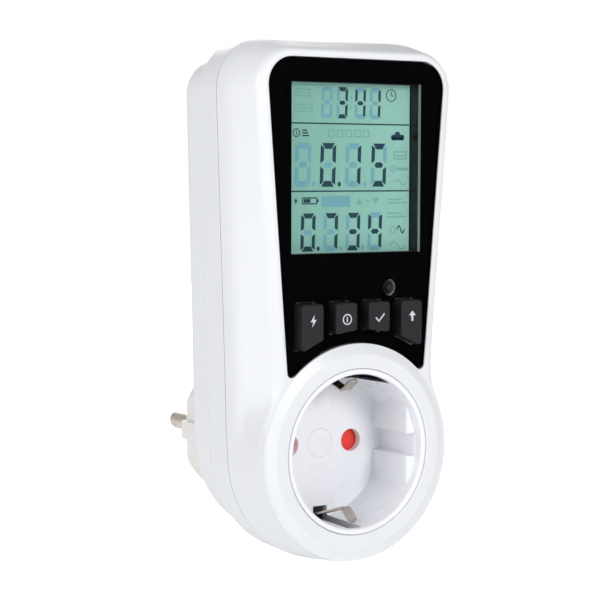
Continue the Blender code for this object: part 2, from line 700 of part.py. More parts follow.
def earth_strap():
    arm = [(17.75, 2.3), (16.6, 3.9), (15.3, 5.6), (14.95, 6.5), (15.15, 7.6), (16.0, 10.4),
           (17.2, 14.3), (18.05, 17.5), (18.05, 21.5), (17.5, 24.0), (17.5, 34.3)]
    strap = ribbon("earth_strap", arm, 0.7, CLIP_WIDTH, nickel())
    half = CLIP_WIDTH / 2
    join(strap, ribbon("lower_arm", [(-z, depth) for z, depth in arm], 0.7, CLIP_WIDTH, nickel()),
         box("cross_bar", (-half, half), (25.5, 26.2), (-17.5, 17.5), nickel()))


# ---------------------------------------------------------------- plug


def plug_base():
    base = turned("plug_base", [
        (0.0, PLUG_FACE), (PLUG_RADIUS - 0.9, PLUG_FACE), (PLUG_RADIUS - 0.25, PLUG_FACE - 0.3),
        (PLUG_RADIUS, PLUG_FACE - 0.9), (PLUG_RADIUS, BACK - WALL - GAP), (21.3, BACK - WALL - GAP),
        (21.3, 35.6), (14.6, 35.6), (14.6, 38.65), (0.0, 38.65),
    ], warm_plastic())
    for side in (-1, 1):
        pin = side * PIN_SPACING / 2
        cut(base, cylinder(f"pin_hole_{side}", (pin, 0, 0), PIN_RADIUS + THIN_GAP, (37.0, 59.0), warm_plastic()))
        for level in (-1, 1):
            x = sorted((side * SIDE_FLAT, side * 20.0))
            z = sorted((level * 2.35, level * 12.0))
            cut(base, box(f"side_flat_{side}_{level}", x, (BACK + 0.6, 59.0), z, warm_plastic()))
        low, high = sorted((side * 17.0, side * 20.0))
        cut(base, box(f"clip_groove_{side}", (-2.9, 2.9), (BACK + 0.4, 57.0), (low, high), warm_plastic()))
        low, high = sorted((side * 17.0, side * 18.35))
        cut(base, box(f"clip_passage_{side}", (-2.9, 2.9), (35.0, BACK + 1.0), (low, high), warm_plastic()))


def plug_metal():
    for name, side in (("live_pin", 1), ("neutral_pin", -1)):
        turned(name, [
            (0.0, PIN_TIP), (1.1, PIN_TIP - 0.1), (2.0, PIN_TIP - 0.6), (PIN_RADIUS, PIN_TIP - 1.6),
            (PIN_RADIUS, 38.35), (3.4, 38.35), (3.4, 37.75), (0.0, 37.75),
        ], nickel(), (side * PIN_SPACING / 2, 0.0), 20)
    for name, side in (("plug_earth_clip_top", 1), ("plug_earth_clip_bottom", -1)):
        path = [(17.5, 34.6), (17.5, 40.6), (17.75, 44.0), (18.0, 48.5), (17.75, 53.0), (17.45, 56.5)]
        ribbon(name, [(side * z, depth) for z, depth in path], 0.6, 5.2, nickel())


clear_scene()
PARTS = new_collection("power_meter")
HELPERS = new_collection("helpers")
front_housing()
rear_housing()
housing_screws()
display_panel()
keys()
reset_button()
display_module()
power_supply()
socket_insert()
shutter()
contact_carrier()
contacts()
earth_strap()
plug_base()
plug_metal()
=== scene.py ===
"""The looks of the plug-in power meter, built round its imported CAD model.

Lengths are millimetres and the helpers turn them into metres. A "depth" is how far a plane lies
behind the socket's ring face, as in the CAD source, and x and z are the row's own axes.
"""

from math import acos, asin, atan2, copysign, cos, degrees, hypot, pi, radians, sin, sqrt, tan

import bmesh
import bpy
from mathutils import Matrix, Vector


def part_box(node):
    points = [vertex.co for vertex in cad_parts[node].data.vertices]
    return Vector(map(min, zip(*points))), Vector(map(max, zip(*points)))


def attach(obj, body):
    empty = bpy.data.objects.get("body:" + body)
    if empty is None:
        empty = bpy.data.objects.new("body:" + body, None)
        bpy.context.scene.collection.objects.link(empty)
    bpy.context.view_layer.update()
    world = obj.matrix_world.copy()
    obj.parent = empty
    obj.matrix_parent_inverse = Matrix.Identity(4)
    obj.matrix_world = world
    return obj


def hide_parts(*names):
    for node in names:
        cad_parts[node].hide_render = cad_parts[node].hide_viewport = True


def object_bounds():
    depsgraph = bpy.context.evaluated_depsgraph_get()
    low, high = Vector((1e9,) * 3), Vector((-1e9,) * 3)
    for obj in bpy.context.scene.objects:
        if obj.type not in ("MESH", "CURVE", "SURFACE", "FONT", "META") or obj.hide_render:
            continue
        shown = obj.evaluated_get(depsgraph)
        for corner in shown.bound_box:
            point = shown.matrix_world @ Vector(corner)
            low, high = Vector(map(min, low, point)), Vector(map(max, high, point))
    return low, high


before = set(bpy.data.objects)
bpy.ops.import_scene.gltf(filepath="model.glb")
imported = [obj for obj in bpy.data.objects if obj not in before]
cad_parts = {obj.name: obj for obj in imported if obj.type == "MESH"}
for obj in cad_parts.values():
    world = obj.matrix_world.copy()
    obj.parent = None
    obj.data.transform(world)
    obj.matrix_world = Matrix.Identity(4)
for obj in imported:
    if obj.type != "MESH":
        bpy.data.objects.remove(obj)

CAD_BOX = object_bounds()
MM = 0.001
RING_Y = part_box("front_housing")[0].y / MM


def ranges(node):
    """The x, depth and z ranges of a CAD node, in millimetres."""
    low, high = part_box(node)
    return ((low.x / MM, high.x / MM), (low.y / MM - RING_Y, high.y / MM - RING_Y),
            (low.z / MM, high.z / MM))


PLUG_FACE = -RING_Y
RIM_FRONT, SEAM, LEDGE = 1.0, 15.0, 25.0
BACK = ranges("rear_housing")[1][1]
SCREW_START, SCREW_HEAD = ranges("housing_screw_1")[1]
PIN_TIP = ranges("live_pin")[1][1]
PIN_SPACING, PIN_RADIUS = 19.0, 2.4
RECESS_DEPTH, SIDE_FLAT = 17.6, 16.3
PLUG_RADIUS = 18.5
GAP = 0.3

# The outline of the housing at one depth: the circle round the socket, the half width of the
# sides at two heights, the top edge, the top corners' radius and how softly the waist blends.
LOW_HEIGHT, HIGH_HEIGHT = 22.0, 88.0
CIRCLE, LOW_WIDTH, HIGH_WIDTH, TOP, CORNER, WAIST_BLEND = range(6)
RIM = (26.9, 21.6, 26.9, 97.8, 8.5, 2.2)
RIM_TURN = (27.2, 22.7, 27.7, 98.3, 9.0, 2.2)
SHOULDER = (27.6, 23.7, 28.5, 98.9, 9.5, 2.2)
BAND = (28.6, 29.2, 31.5, 101.2, 13.0, 1.0)
JOINT = (28.95, 29.75, 32.05, 101.6, 13.0, 1.0)
REAR = (28.6, 29.5, 31.7, 101.3, 13.0, 1.0)
TIER = (25.4, 26.2, 27.8, 97.6, 9.0, 1.0)
SHOULDER_DEPTH, BAND_DEPTH = 2.5, 10.6
WALL, LIP_OUT, LIP_IN, REBATE = 2.0, 1.4, 2.2, 1.1
FRONT_WALL_BACK = 4.2
WAIST_HEIGHT = 30.0
SCREWS = ((21.6, 90.8), (-21.6, 90.8), (20.9, 22.6), (-20.9, 22.6))
SCREW_HOLE, BOSS_RADIUS, COLUMN_RADIUS, WELL_FLOOR = 1.7, 3.0, 4.4, 27.9

RING_RADIUS, RING_BASE = 24.2, 26.8
INSERT_HOLE, INSERT_RADIUS = 21.05, 20.6
FLOOR_BACK = RECESS_DEPTH + 2.0
CONTACT_HOLE, PIVOT_HEAD, PIVOT_HOLE = 2.9, 3.5, 1.7
BLOCK_FRONTS, NOTCH_HEIGHT = {1: 2.45, -1: 5.8}, 2.8
CLIP_FRONT, CLIP_EDGE, CLIP_SLOT, CLIP_WIDTH = 1.65, 16.2, 2.1, 2.8

PANEL_LOW, PANEL_HIGH = (23.0, 20.45), (88.5, 25.6)
PANEL_TOP, PANEL_CORNER, PANEL_ARC, PANEL_TIP = 96.3, 6.5, 27.1, 1.2
LENS = ranges("display_lens")[1]
MASK = ranges("display_mask")[1]
POCKET_FLOOR = 2.9
WINDOW = (18.9, 49.0, 90.8)  # half width, bottom, top
MASK_SHIFT = 0.5  # how much further right the printed window ends than the moulded one

KEY_CENTRES = [sum(ranges(f"key_{i}")[0]) / 2 for i in range(1, 5)]
KEY_HALF_WIDTH, KEY_TOP, KEY_CORNER = 3.15, 37.2, 0.9
KEY_ARC_CENTRE, KEY_ARC_RADIUS = -3.6, 34.0
KEY_FRONT, KEY_BACK = ranges("key_1")[1]
RESET_FRONT, RESET_BACK = ranges("reset_button")[1]
KEY_FLANGE, KEY_CLEARANCE = 4.7, 0.35
RESET_X, RESET_HEIGHT = (sum(pair) / 2 for pair in ranges("reset_button")[::2])
RESET_RADIUS = 1.7
LEGEND_HEIGHT = 33.2


# ---------------- material nodes


class Nodes:
    """A material being built: one Principled shader and what feeds it."""

    def __init__(self, name, colour, roughness, **sockets):
        self.material = bpy.data.materials.new(name)
        self.material.use_nodes = True
        self.tree = self.material.node_tree
        self.shader = self.tree.nodes["Principled BSDF"]
        self.material.diffuse_color = (*colour, 1.0)
        self.shader.inputs["Base Color"].default_value = (*colour, 1.0)
        self.shader.inputs["Roughness"].default_value = roughness
        for socket, value in sockets.items():
            self.shader.inputs[socket.replace("_", " ")].default_value = value
        self.place = self.add("ShaderNodeTexCoord").outputs["Object"]

    def add(self, kind, **settings):
        node = self.tree.nodes.new(kind)
        for key, value in settings.items():
            setattr(node, key, value)
        return node

    def link(self, source, target):
        self.tree.links.new(source, target)

    def stretched(self, scale):
        """The object's coordinates, stretched by three factors."""
        mapping = self.add("ShaderNodeMapping")
        mapping.inputs["Scale"].default_value = scale
        self.link(self.place, mapping.inputs["Vector"])
        return mapping.outputs["Vector"]

    def noise(self, size, detail=3.0, stretch=(1.0, 1.0, 1.0)):
        """Noise whose features are about size millimetres across."""
        node = self.add("ShaderNodeTexNoise")
        node.inputs["Scale"].default_value = 1.0 / (size * MM)
        node.inputs["Detail"].default_value = detail
        self.link(self.stretched(stretch), node.inputs["Vector"])
        return node.outputs["Fac"]

    def levels(self, value, low, high, start=0.3, end=0.7):
        """A value between start and end spread over low to high."""
        node = self.add("ShaderNodeMapRange")
        numbers = {"From Min": start, "From Max": end, "To Min": low, "To Max": high}
        for socket, number in numbers.items():
            node.inputs[socket].default_value = number
        self.link(value, node.inputs["Value"])
        return node.outputs["Result"]

    def maths(self, operation, first, second=None):
        node = self.add("ShaderNodeMath", operation=operation)
        for socket, value in zip(node.inputs, (first, second)):
            if isinstance(value, (int, float)):
                socket.default_value = value
            elif value is not None:
                self.link(value, socket)
        return node.outputs[0]

    def mix(self, share, first, second):
        """A colour between two, which are colours or sockets."""
        node = self.add("ShaderNodeMix", data_type="RGBA")
        self.link(share, node.inputs["Factor"])
        for index, value in ((6, first), (7, second)):
            if isinstance(value, tuple):
                node.inputs[index].default_value = (*value, 1.0)
            else:
                self.link(value, node.inputs[index])
        return node.outputs[2]

    def colour(self, source):
        self.link(source, self.shader.inputs["Base Color"])

    def tint(self, value, colour, low, high):
        """The colour, made from low to high times as bright by a value."""
        self.colour(self.mix(self.levels(value, 0.0, 1.0), scaled(colour, low), scaled(colour, high)))

    def roughness(self, source):
        self.link(source, self.shader.inputs["Roughness"])

    def bump(self, height, distance, strength=1.0):
        """A bump of height times distance millimetres, on top of any that is there."""
        node = self.add("ShaderNodeBump")
        node.inputs["Strength"].default_value = strength
        node.inputs["Distance"].default_value = distance * MM
        self.link(height, node.inputs["Height"])
        normal = self.shader.inputs["Normal"]
        if normal.links:
            self.link(normal.links[0].from_socket, node.inputs["Normal"])
        self.link(node.outputs["Normal"], normal)


def scaled(colour, factor):
    return tuple(min(channel * factor, 1.0) for channel in colour)


def moulded(name, colour, roughness, grain=0.12, depth=0.004, vary=0.03, **sockets):
    """Moulded plastic: a fine spark-eroded grain, faint flow shade and slight gloss changes."""
    made = Nodes(name, colour, roughness, **sockets)
    flow = made.noise(14.0, 2.0, (1.0, 1.0, 0.45))
    made.tint(flow, colour, 1 - vary, 1 + vary)
    fine = made.noise(grain, 2.0)
    smudge = made.noise(3.0, 4.0)
    gloss = made.maths("ADD", made.levels(smudge, roughness * 0.88, roughness * 1.12),
                       made.levels(fine, -0.02, 0.02))
    made.roughness(gloss)
    made.bump(fine, depth)
    made.bump(flow, 0.008, 0.35)
    return made.material


def plated(name, colour, roughness):
    """Plated or stamped sheet metal: rolling streaks and a tint that drifts."""
    made = Nodes(name, colour, roughness, Metallic=1.0)
    streaks = made.noise(0.5, 4.0, (1.0, 1.0, 9.0))
    stains = made.noise(2.5, 3.0)
    made.tint(stains, colour, 0.88, 1.06)
    made.roughness(made.maths("ADD", made.levels(streaks, roughness * 0.7, roughness * 1.3),
                              made.levels(stains, -0.03, 0.05)))
    made.bump(streaks, 0.004, 0.7)
    return made.material


def coated(name, colour, roughness, bumps=0.6, height=0.03):
    """A dipped or shrunk coat: glossy, gently uneven."""
    made = Nodes(name, colour, roughness, Coat_Weight=0.35, Coat_Roughness=0.12)
    uneven = made.noise(bumps, 3.0)
    made.tint(made.noise(2.0), colour, 0.85, 1.15)
    made.roughness(made.levels(uneven, roughness * 0.8, roughness * 1.25))
    made.bump(uneven, height)
    return made.material


def key_rubber():
    """The keys' fine black-grey leather-like grain."""
    colour = (0.0105, 0.0105, 0.0125)
    made = Nodes("key_grain", colour, 0.55, Specular_IOR_Level=0.3)
    cells = made.add("ShaderNodeTexVoronoi", feature="SMOOTH_F1")
    cells.inputs["Scale"].default_value = 1.0 / (0.28 * MM)
    made.link(made.place, cells.inputs["Vector"])
    fine = made.noise(0.15, 3.0)
    made.tint(fine, colour, 0.75, 1.35)
    made.roughness(made.levels(cells.outputs["Distance"], 0.46, 0.64, 0.0, 0.6))
    made.bump(cells.outputs["Distance"], 0.02)
    made.bump(fine, 0.01)
    return made.material


def clear_acrylic():
    """The lens: nearly all of the light goes through, and its faces mirror a little."""
    made = Nodes("clear_acrylic", (0.30, 0.32, 0.33), 0.04)
    through = made.add("ShaderNodeBsdfTransparent")
    through.inputs["Color"].default_value = (0.985, 0.99, 0.99, 1.0)
    share = made.add("ShaderNodeFresnel")
    share.inputs["IOR"].default_value = 1.05
    mixed = made.add("ShaderNodeMixShader")
    for source, target in zip((share, through, made.shader), mixed.inputs):
        made.link(source.outputs[0], target)
    made.link(mixed.outputs[0], made.tree.nodes["Material Output"].inputs["Surface"])
    wipe = made.noise(1.6, 5.0, (0.25, 1.0, 1.0))
    made.roughness(made.levels(wipe, 0.02, 0.09))
    made.bump(made.noise(9.0, 1.0), 0.02, 0.3)
    return made.material


def display_green():
    """The liquid crystal's reflector: pale green, brighter at its rim, with painted light that brightens it
    towards its right side, and a faint brushed grain.
    """
    (low_x, high_x), _, (low_z, high_z) = ranges("lcd_glass")
    base, bright, deep = (0.238, 0.468, 0.402), (0.305, 0.560, 0.490), (0.225, 0.450, 0.384)
    made = Nodes("display_green", base, 0.28, Emission_Strength=0.08, Emission_Color=(*base, 1.0),
                 Specular_IOR_Level=0.2)
    split = made.add("ShaderNodeSeparateXYZ")
    made.link(made.place, split.inputs[0])

    def near_edge(axis, low, high, start, end):
        """Rises from 0 to 1 between two distances from the middle of an axis."""
        away = made.maths("ABSOLUTE", made.maths("SUBTRACT", split.outputs[axis], (low + high) / 2 * MM))
        return made.levels(away, 0.0, 1.0, start * MM, end * MM)

    edge = made.maths("MAXIMUM", near_edge("X", low_x, high_x, 17.0, 18.7),
                      near_edge("Z", low_z, high_z, 19.4, 20.9))
    cloud = made.levels(made.noise(11.0, 2.0), 0.0, 1.0, 0.35, 0.65)
    grain = made.noise(0.3, 2.0, (1.0, 1.0, 0.15))
    # painted light: the green is painted brighter towards the right side of the display
    painted_side_light = made.levels(split.outputs["X"], 0.0, 0.8, -6.0 * MM, 18.0 * MM)
    shaded = made.mix(painted_side_light, made.mix(cloud, base, deep), bright)
    made.colour(made.mix(edge, shaded, bright))
    made.roughness(made.levels(grain, 0.24, 0.34))
    made.bump(grain, 0.002)
    return made.material


def crystal(name, colour):
    """The segments of the display: a slightly uneven print."""
    made = Nodes(name, colour, 0.35, Specular_IOR_Level=0.1)
    speck = made.noise(0.25, 2.0)
    made.tint(speck, colour, 0.92, 1.08)
    made.roughness(made.levels(speck, 0.3, 0.4))
    return made.material


def printed_white():
    """Screen-printed legend ink, with a speckled tone."""
    made = Nodes("printed_white", (0.62, 0.66, 0.70), 0.6)
    speck = made.noise(0.10, 3.0)
    made.colour(made.mix(made.levels(speck, 0.0, 1.0), (0.50, 0.54, 0.58), (0.70, 0.74, 0.78)))
    made.roughness(made.levels(speck, 0.5, 0.7))
    made.bump(speck, 0.006)
    return made.material


def solder_mask():
    """A circuit board: green varnish over copper tracks, with tinned dots."""
    made = Nodes("solder_mask", (0.02, 0.16, 0.07), 0.3, Coat_Weight=0.4)
    tracks = made.add("ShaderNodeTexBrick")
    tracks.inputs["Scale"].default_value = 1.0 / (5.0 * MM)
    tracks.inputs["Mortar Size"].default_value = 0.06
    turn = made.add("ShaderNodeMapping")
    turn.inputs["Rotation"].default_value = (pi / 2, 0.0, 0.0)
    made.link(made.place, turn.inputs["Vector"])
    made.link(turn.outputs["Vector"], tracks.inputs["Vector"])
    dots = made.add("ShaderNodeTexVoronoi")
    dots.inputs["Scale"].default_value = 1.0 / (2.6 * MM)
    made.link(made.place, dots.inputs["Vector"])
    tinned = made.maths("LESS_THAN", dots.outputs["Distance"], 0.14)
    varnish = made.mix(tracks.outputs["Fac"], (0.015, 0.15, 0.06), (0.03, 0.24, 0.10))
    made.colour(made.mix(tinned, varnish, (0.55, 0.56, 0.55)))
    made.roughness(made.levels(made.noise(1.2), 0.24, 0.38))
    made.bump(tracks.outputs["Fac"], 0.03)
    return made.material


WHITE = moulded("housing_white", (0.795, 0.810, 0.836), 0.36, 0.16, 0.003, 0.008)
# The insert's white is painted brighter and bluer than the housing's: painted light that lifts the shaded
# recess, and a painted cool tint for the shade on its walls
INSERT_PAINTED_LIGHT_BLUE_SHADE = moulded("insert_white", (0.885, 0.895, 0.935), 0.30, 0.12, 0.002, 0.008)
PLUG_WHITE = moulded("plug_white", (0.81, 0.80, 0.785), 0.42, 0.14, 0.005, 0.012)
PANEL_BLACK = moulded("panel_black", (0.0016, 0.0017, 0.0021), 0.30, 0.10, 0.001, 0.1,
                      Specular_IOR_Level=0.0)
# A painted reflection: the black mask's window wall on the right is coloured grey-green, as if it mirrored
# the green display
PAINTED_EDGE_REFLECTION = moulded("painted_edge_reflection", (0.27, 0.30, 0.30), 0.4, 0.2, 0.002, 0.05)
FRAME_BLACK = moulded("frame_black", (0.003, 0.0035, 0.0035), 0.22, 0.12, 0.001, 0.1)
CHIP_BLACK = moulded("chip_black", (0.02, 0.02, 0.022), 0.5, 0.08, 0.008, 0.1)
SHUTTER_RED = moulded("shutter_red", (0.80, 0.045, 0.028), 0.38, 0.10, 0.004, 0.05)
LIGHT_GUIDE = moulded("light_guide", (0.85, 0.88, 0.88), 0.3, 0.3, 0.01, 0.01)
ZEBRA = moulded("zebra_rubber", (0.45, 0.33, 0.36), 0.7, 0.1, 0.01, 0.1)
CERAMIC = moulded("fuse_ceramic", (0.80, 0.76, 0.68), 0.35, 0.2, 0.01, 0.03)
BROWN_WIRE = moulded("brown_insulation", (0.22, 0.08, 0.035), 0.4, 0.3, 0.01, 0.08)
BLUE_WIRE = moulded("blue_insulation", (0.03, 0.10, 0.42), 0.4, 0.3, 0.01, 0.08)
KEY_GREY = key_rubber()
CLEAR = clear_acrylic()
GREEN_LCD = display_green()
DARK_CRYSTAL = crystal("dark_crystal", (0.020, 0.062, 0.085))
PALE_CRYSTAL = crystal("pale_crystal", (0.172, 0.400, 0.475))
FAINT_CRYSTAL = crystal("faint_crystal", (0.205, 0.425, 0.395))
LEGEND = printed_white()
BOARD = solder_mask()
NICKEL = plated("nickel", (0.60, 0.535, 0.47), 0.26)
PIN_METAL = plated("pin_metal", (0.84, 0.76, 0.68), 0.42)
BRASS = plated("brass", (0.72, 0.52, 0.22), 0.32)
STEEL = plated("steel", (0.50, 0.50, 0.52), 0.3)
MANGANIN = plated("manganin", (0.60, 0.42, 0.30), 0.3)
YELLOW_CASE = coated("capacitor_case", (0.75, 0.50, 0.06), 0.35)
BLUE_COAT = coated("varistor_coat", (0.04, 0.15, 0.45), 0.3, 0.9, 0.06)
DARK_SLEEVE = coated("capacitor_sleeve", (0.03, 0.04, 0.11), 0.3)
GREEN_SLEEVE = coated("battery_sleeve", (0.04, 0.28, 0.10), 0.35)


# ---------------- mesh tools


def place(x, depth, z):
    return Vector((x, depth + RING_Y, z)) * MM


def linked(name, mesh, surface):
    """An object in the scene. A cutter, or a piece to be joined to another, has no surface."""
    if surface:
        mesh.materials.append(surface)
    obj = bpy.data.objects.new(name, mesh)
    bpy.context.scene.collection.objects.link(obj)
    return obj


def solid(name, shape, surface):
    """An object from a bmesh, with its faces turned outwards."""
    bmesh.ops.recalc_face_normals(shape, faces=shape.faces)
    mesh = bpy.data.meshes.new(name)
    shape.to_mesh(mesh)
    shape.free()
    return linked(name, mesh, surface)


def add_solid(shape, rings):
    """Adds a closed solid through rings of points, capped at both ends."""
    rows = [[shape.verts.new(point) for point in ring] for ring in rings]
    for near, far in zip(rows, rows[1:]):
        for i in range(len(near)):
            j = (i + 1) % len(near)
            shape.faces.new((near[i], near[j], far[j], far[i]))
    shape.faces.new(rows[0])
    shape.faces.new(rows[-1])


def loft(name, rings, surface=None):
    shape = bmesh.new()
    add_solid(shape, rings)
    return solid(name, shape, surface)


def flat_ring(outline, depth):
    return [place(x, depth, z) for x, z in outline]


def prism(name, outline, depths, surface=None):
    return loft(name, [flat_ring(outline, depth) for depth in depths], surface)


def layered(name, outline, layers, surface=None):
    """A solid through (depth, grow) layers of an outline, which takes how far it grows."""
    return loft(name, [flat_ring(outline(grow), depth) for depth, grow in layers], surface)


def rectangle(x, z):
    return [(x[0], z[0]), (x[1], z[0]), (x[1], z[1]), (x[0], z[1])]


def box(name, x, depth, z):
    return prism(name, rectangle(x, z), depth)


def lathe(name, profile, surface=None, centre=(0.0, 0.0), steps=144):
    """A profile of (radius, depth) points turned about a line along Y."""
    x0, z0 = centre
    turns = [2 * pi * i / steps for i in range(steps)]
    shape = bmesh.new()
    rows = []
    for radius, depth in profile:
        spots = turns if radius > 0.0001 else turns[:1]
        rows.append([shape.verts.new(place(x0 + radius * cos(t), depth, z0 + radius * sin(t)))
                     for t in spots])
    pairs = list(zip(rows, rows[1:]))
    if profile[0][0] > 0:
        pairs.append((rows[-1], rows[0]))
    for near, far in pairs:
        for i in range(steps):
            j = (i + 1) % steps
            loop = [near[i % len(near)], near[j % len(near)], far[j % len(far)], far[i % len(far)]]
            shape.faces.new(list(dict.fromkeys(loop)))
    return solid(name, shape, surface)


def boolean(target, operation, others):
    for other in others:
        modifier = target.modifiers.new(other.name, "BOOLEAN")
        modifier.operation = operation
        modifier.solver = "EXACT"
        modifier.object = other
    bpy.context.view_layer.update()
    graph = bpy.context.evaluated_depsgraph_get()
    mesh = bpy.data.meshes.new_from_object(target.evaluated_get(graph))
    target.modifiers.clear()
    target.data = mesh
    for other in others:
        bpy.data.objects.remove(other)
    return target


def cut(target, *others):
    return boolean(target, "DIFFERENCE", others)


def join(target, *others):
    return boolean(target, "UNION", others)


def shade(mesh, sharp_angle):
    mesh.shade_smooth()
    mesh.set_sharp_from_angle(angle=radians(sharp_angle))


def shown(obj, slot, *nodes, body="root"):
    """Shades a finished piece, and has it ride on its body in place of its CAD nodes."""
    shade(obj.data, 32)
    obj.modifiers.new("even_normals", "WEIGHTED_NORMAL").keep_sharp = True
    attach(obj, body)
    if nodes:
        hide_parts(*nodes)


# ---------------- outlines


def arc(x, z, radius, start, end, steps):
    angles = [radians(start + (end - start) * i / steps) for i in range(steps + 1)]
    return [(x + radius * cos(a), z + radius * sin(a)) for a in angles]


def circle(radius, steps=48, x=0.0, z=0.0):
    return arc(x, z, radius, 0.0, 360.0, steps)[:-1]


def rounded(corners, steps=6):
    """An outline of (x, z) corners, which are sharp, and (x, z, radius) ones, which are round."""
    outline = []
    for i, (x, z, *radius) in enumerate(corners):
        if not radius:
            outline.append((x, z))
            continue
        here = Vector((x, z))
        before = (Vector(corners[i - 1][:2]) - here).normalized()
        after = (Vector(corners[(i + 1) % len(corners)][:2]) - here).normalized()
        half = before.angle(after) / 2
        centre = here + (before + after).normalized() * (radius[0] / sin(half))
        start = here + before * (radius[0] / tan(half)) - centre
        end = here + after * (radius[0] / tan(half)) - centre
        turn = atan2(start.x * end.y - start.y * end.x, start.dot(end))
        for step in range(steps + 1):
            spoke = start.copy()
            spoke.rotate(Matrix.Rotation(turn * step / steps, 2))
            outline.append(tuple(centre + spoke))
    return outline


def soft_rectangle(x, z, radius):
    return rounded([(*corner, radius) for corner in rectangle(x, z)], 3)


def side_width(section, z):
    """The half width of the housing at a height: the socket's circle run smoothly into the side."""
    slope = (section[HIGH_WIDTH] - section[LOW_WIDTH]) / (HIGH_HEIGHT - LOW_HEIGHT)
    side = section[LOW_WIDTH] + slope * (z - LOW_HEIGHT)
    round_part = sqrt(max(section[CIRCLE] ** 2 - z**2, 0.0))
    blend = section[WAIST_BLEND] * min(max(z, 0.0) / 8.0, 1.0)
    return (side + round_part + hypot(side - round_part, blend)) / 2


def housing_outline(section):
    """The outline of the housing at one depth: its right half, and the same mirrored."""
    right = arc(0.0, 0.0, section[CIRCLE], -90.0, -4.0, 40)
    start = section[TOP] - section[CORNER]
    heights = [WAIST_HEIGHT * i / 28 for i in range(28)]
    heights += [WAIST_HEIGHT + (start - WAIST_HEIGHT) * i / 12 for i in range(13)]
    right += [(side_width(section, z), z) for z in heights]
    middle = side_width(section, start) - section[CORNER]
    right += arc(middle, start, section[CORNER], 0.0, 90.0, 18)[1:]
    right.append((0.0, section[TOP]))
    return right + [(-x, z) for x, z in right[-2:0:-1]]


def between(first, second, share):
    return [a + (b - a) * share for a, b in zip(first, second)]


def inset(section, amount):
    return [value - amount for value in section[:WAIST_BLEND]] + [section[WAIST_BLEND]]


def shell_rings(stations, steps=5):
    """Rings through stations of (depth, section) and, where the corner is round, how far it reaches."""
    spots = [Vector((depth, *section)) for depth, section, *_ in stations]
    rings = []
    for i, here in enumerate(spots):
        if len(stations[i]) == 2:
            rings.append(here)
            continue
        ends = []
        for other in (spots[i - 1], spots[i + 1]):
            step = other - here
            ends.append(here + step * min(stations[i][2] / hypot(step[0], step[2]), 0.49))
        for k in range(steps + 1):
            t = k / steps
            rings.append(ends[0] * (1 - t) ** 2 + here * (2 * t * (1 - t)) + ends[1] * t**2)
    return [flat_ring(housing_outline(ring[1:]), ring[0]) for ring in rings]


def panel_outline(grow=0.0):
    """The black panel: straight sides, round top corners, and an arc that clears the ring."""
    slope = (PANEL_HIGH[1] - PANEL_LOW[1]) / (PANEL_HIGH[0] - PANEL_LOW[0])
    width = PANEL_LOW[1] - slope * PANEL_LOW[0] + grow
    radius = PANEL_ARC - grow
    a, b, c = 1 + slope**2, 2 * width * slope, width**2 - radius**2
    tip_z = (-b + sqrt(b**2 - 4 * a * c)) / (2 * a)
    tip_x = width + slope * tip_z
    tip_angle = degrees(atan2(tip_z, tip_x))
    bottom = arc(0.0, 0.0, radius, 180.0 - tip_angle, tip_angle, 36)[2:-2]
    top = PANEL_TOP + grow
    tip, corner = PANEL_TIP + grow / 2, PANEL_CORNER + grow
    corners = [(-tip_x, tip_z, tip), *bottom, (tip_x, tip_z, tip)]
    corners += [(width + slope * top, top, corner), (-width - slope * top, top, corner)]
    return rounded(corners, 12)


def key_outline(middle, grow=0.0):
    """A key: three straight sides, and a lower side that follows the arc over the socket."""
    def bottom(x):
        return KEY_ARC_CENTRE + sqrt(KEY_ARC_RADIUS**2 - x**2) - grow

    left, right = middle - KEY_HALF_WIDTH - grow, middle + KEY_HALF_WIDTH + grow
    top, radius = KEY_TOP + grow, KEY_CORNER + grow / 2
    inner = [left + (right - left) * i / 6 for i in range(2, 5)]
    return rounded([(left, bottom(left), radius), *((x, bottom(x)) for x in inner),
                    (right, bottom(right), radius), (right, top, radius), (left, top, radius)])


def eased(front, radius, steps=5):
    """(depth, grow) pairs that round the front edge of a solid over a radius."""
    turns = [pi / 2 * i / steps for i in range(steps + 1)]
    return [(front + radius * (1 - cos(t)), -radius * (1 - sin(t))) for t in turns]


def panel_cutters(front, back):
    """Cutters for the keys' and the reset button's holes."""
    holes = [key_outline(middle, KEY_CLEARANCE) for middle in KEY_CENTRES]
    holes.append(circle(RESET_RADIUS + KEY_CLEARANCE, 48, RESET_X, RESET_HEIGHT))
    return [prism(f"panel_hole_{i}", hole, (front, back)) for i, hole in enumerate(holes)]


# ---------------- housing


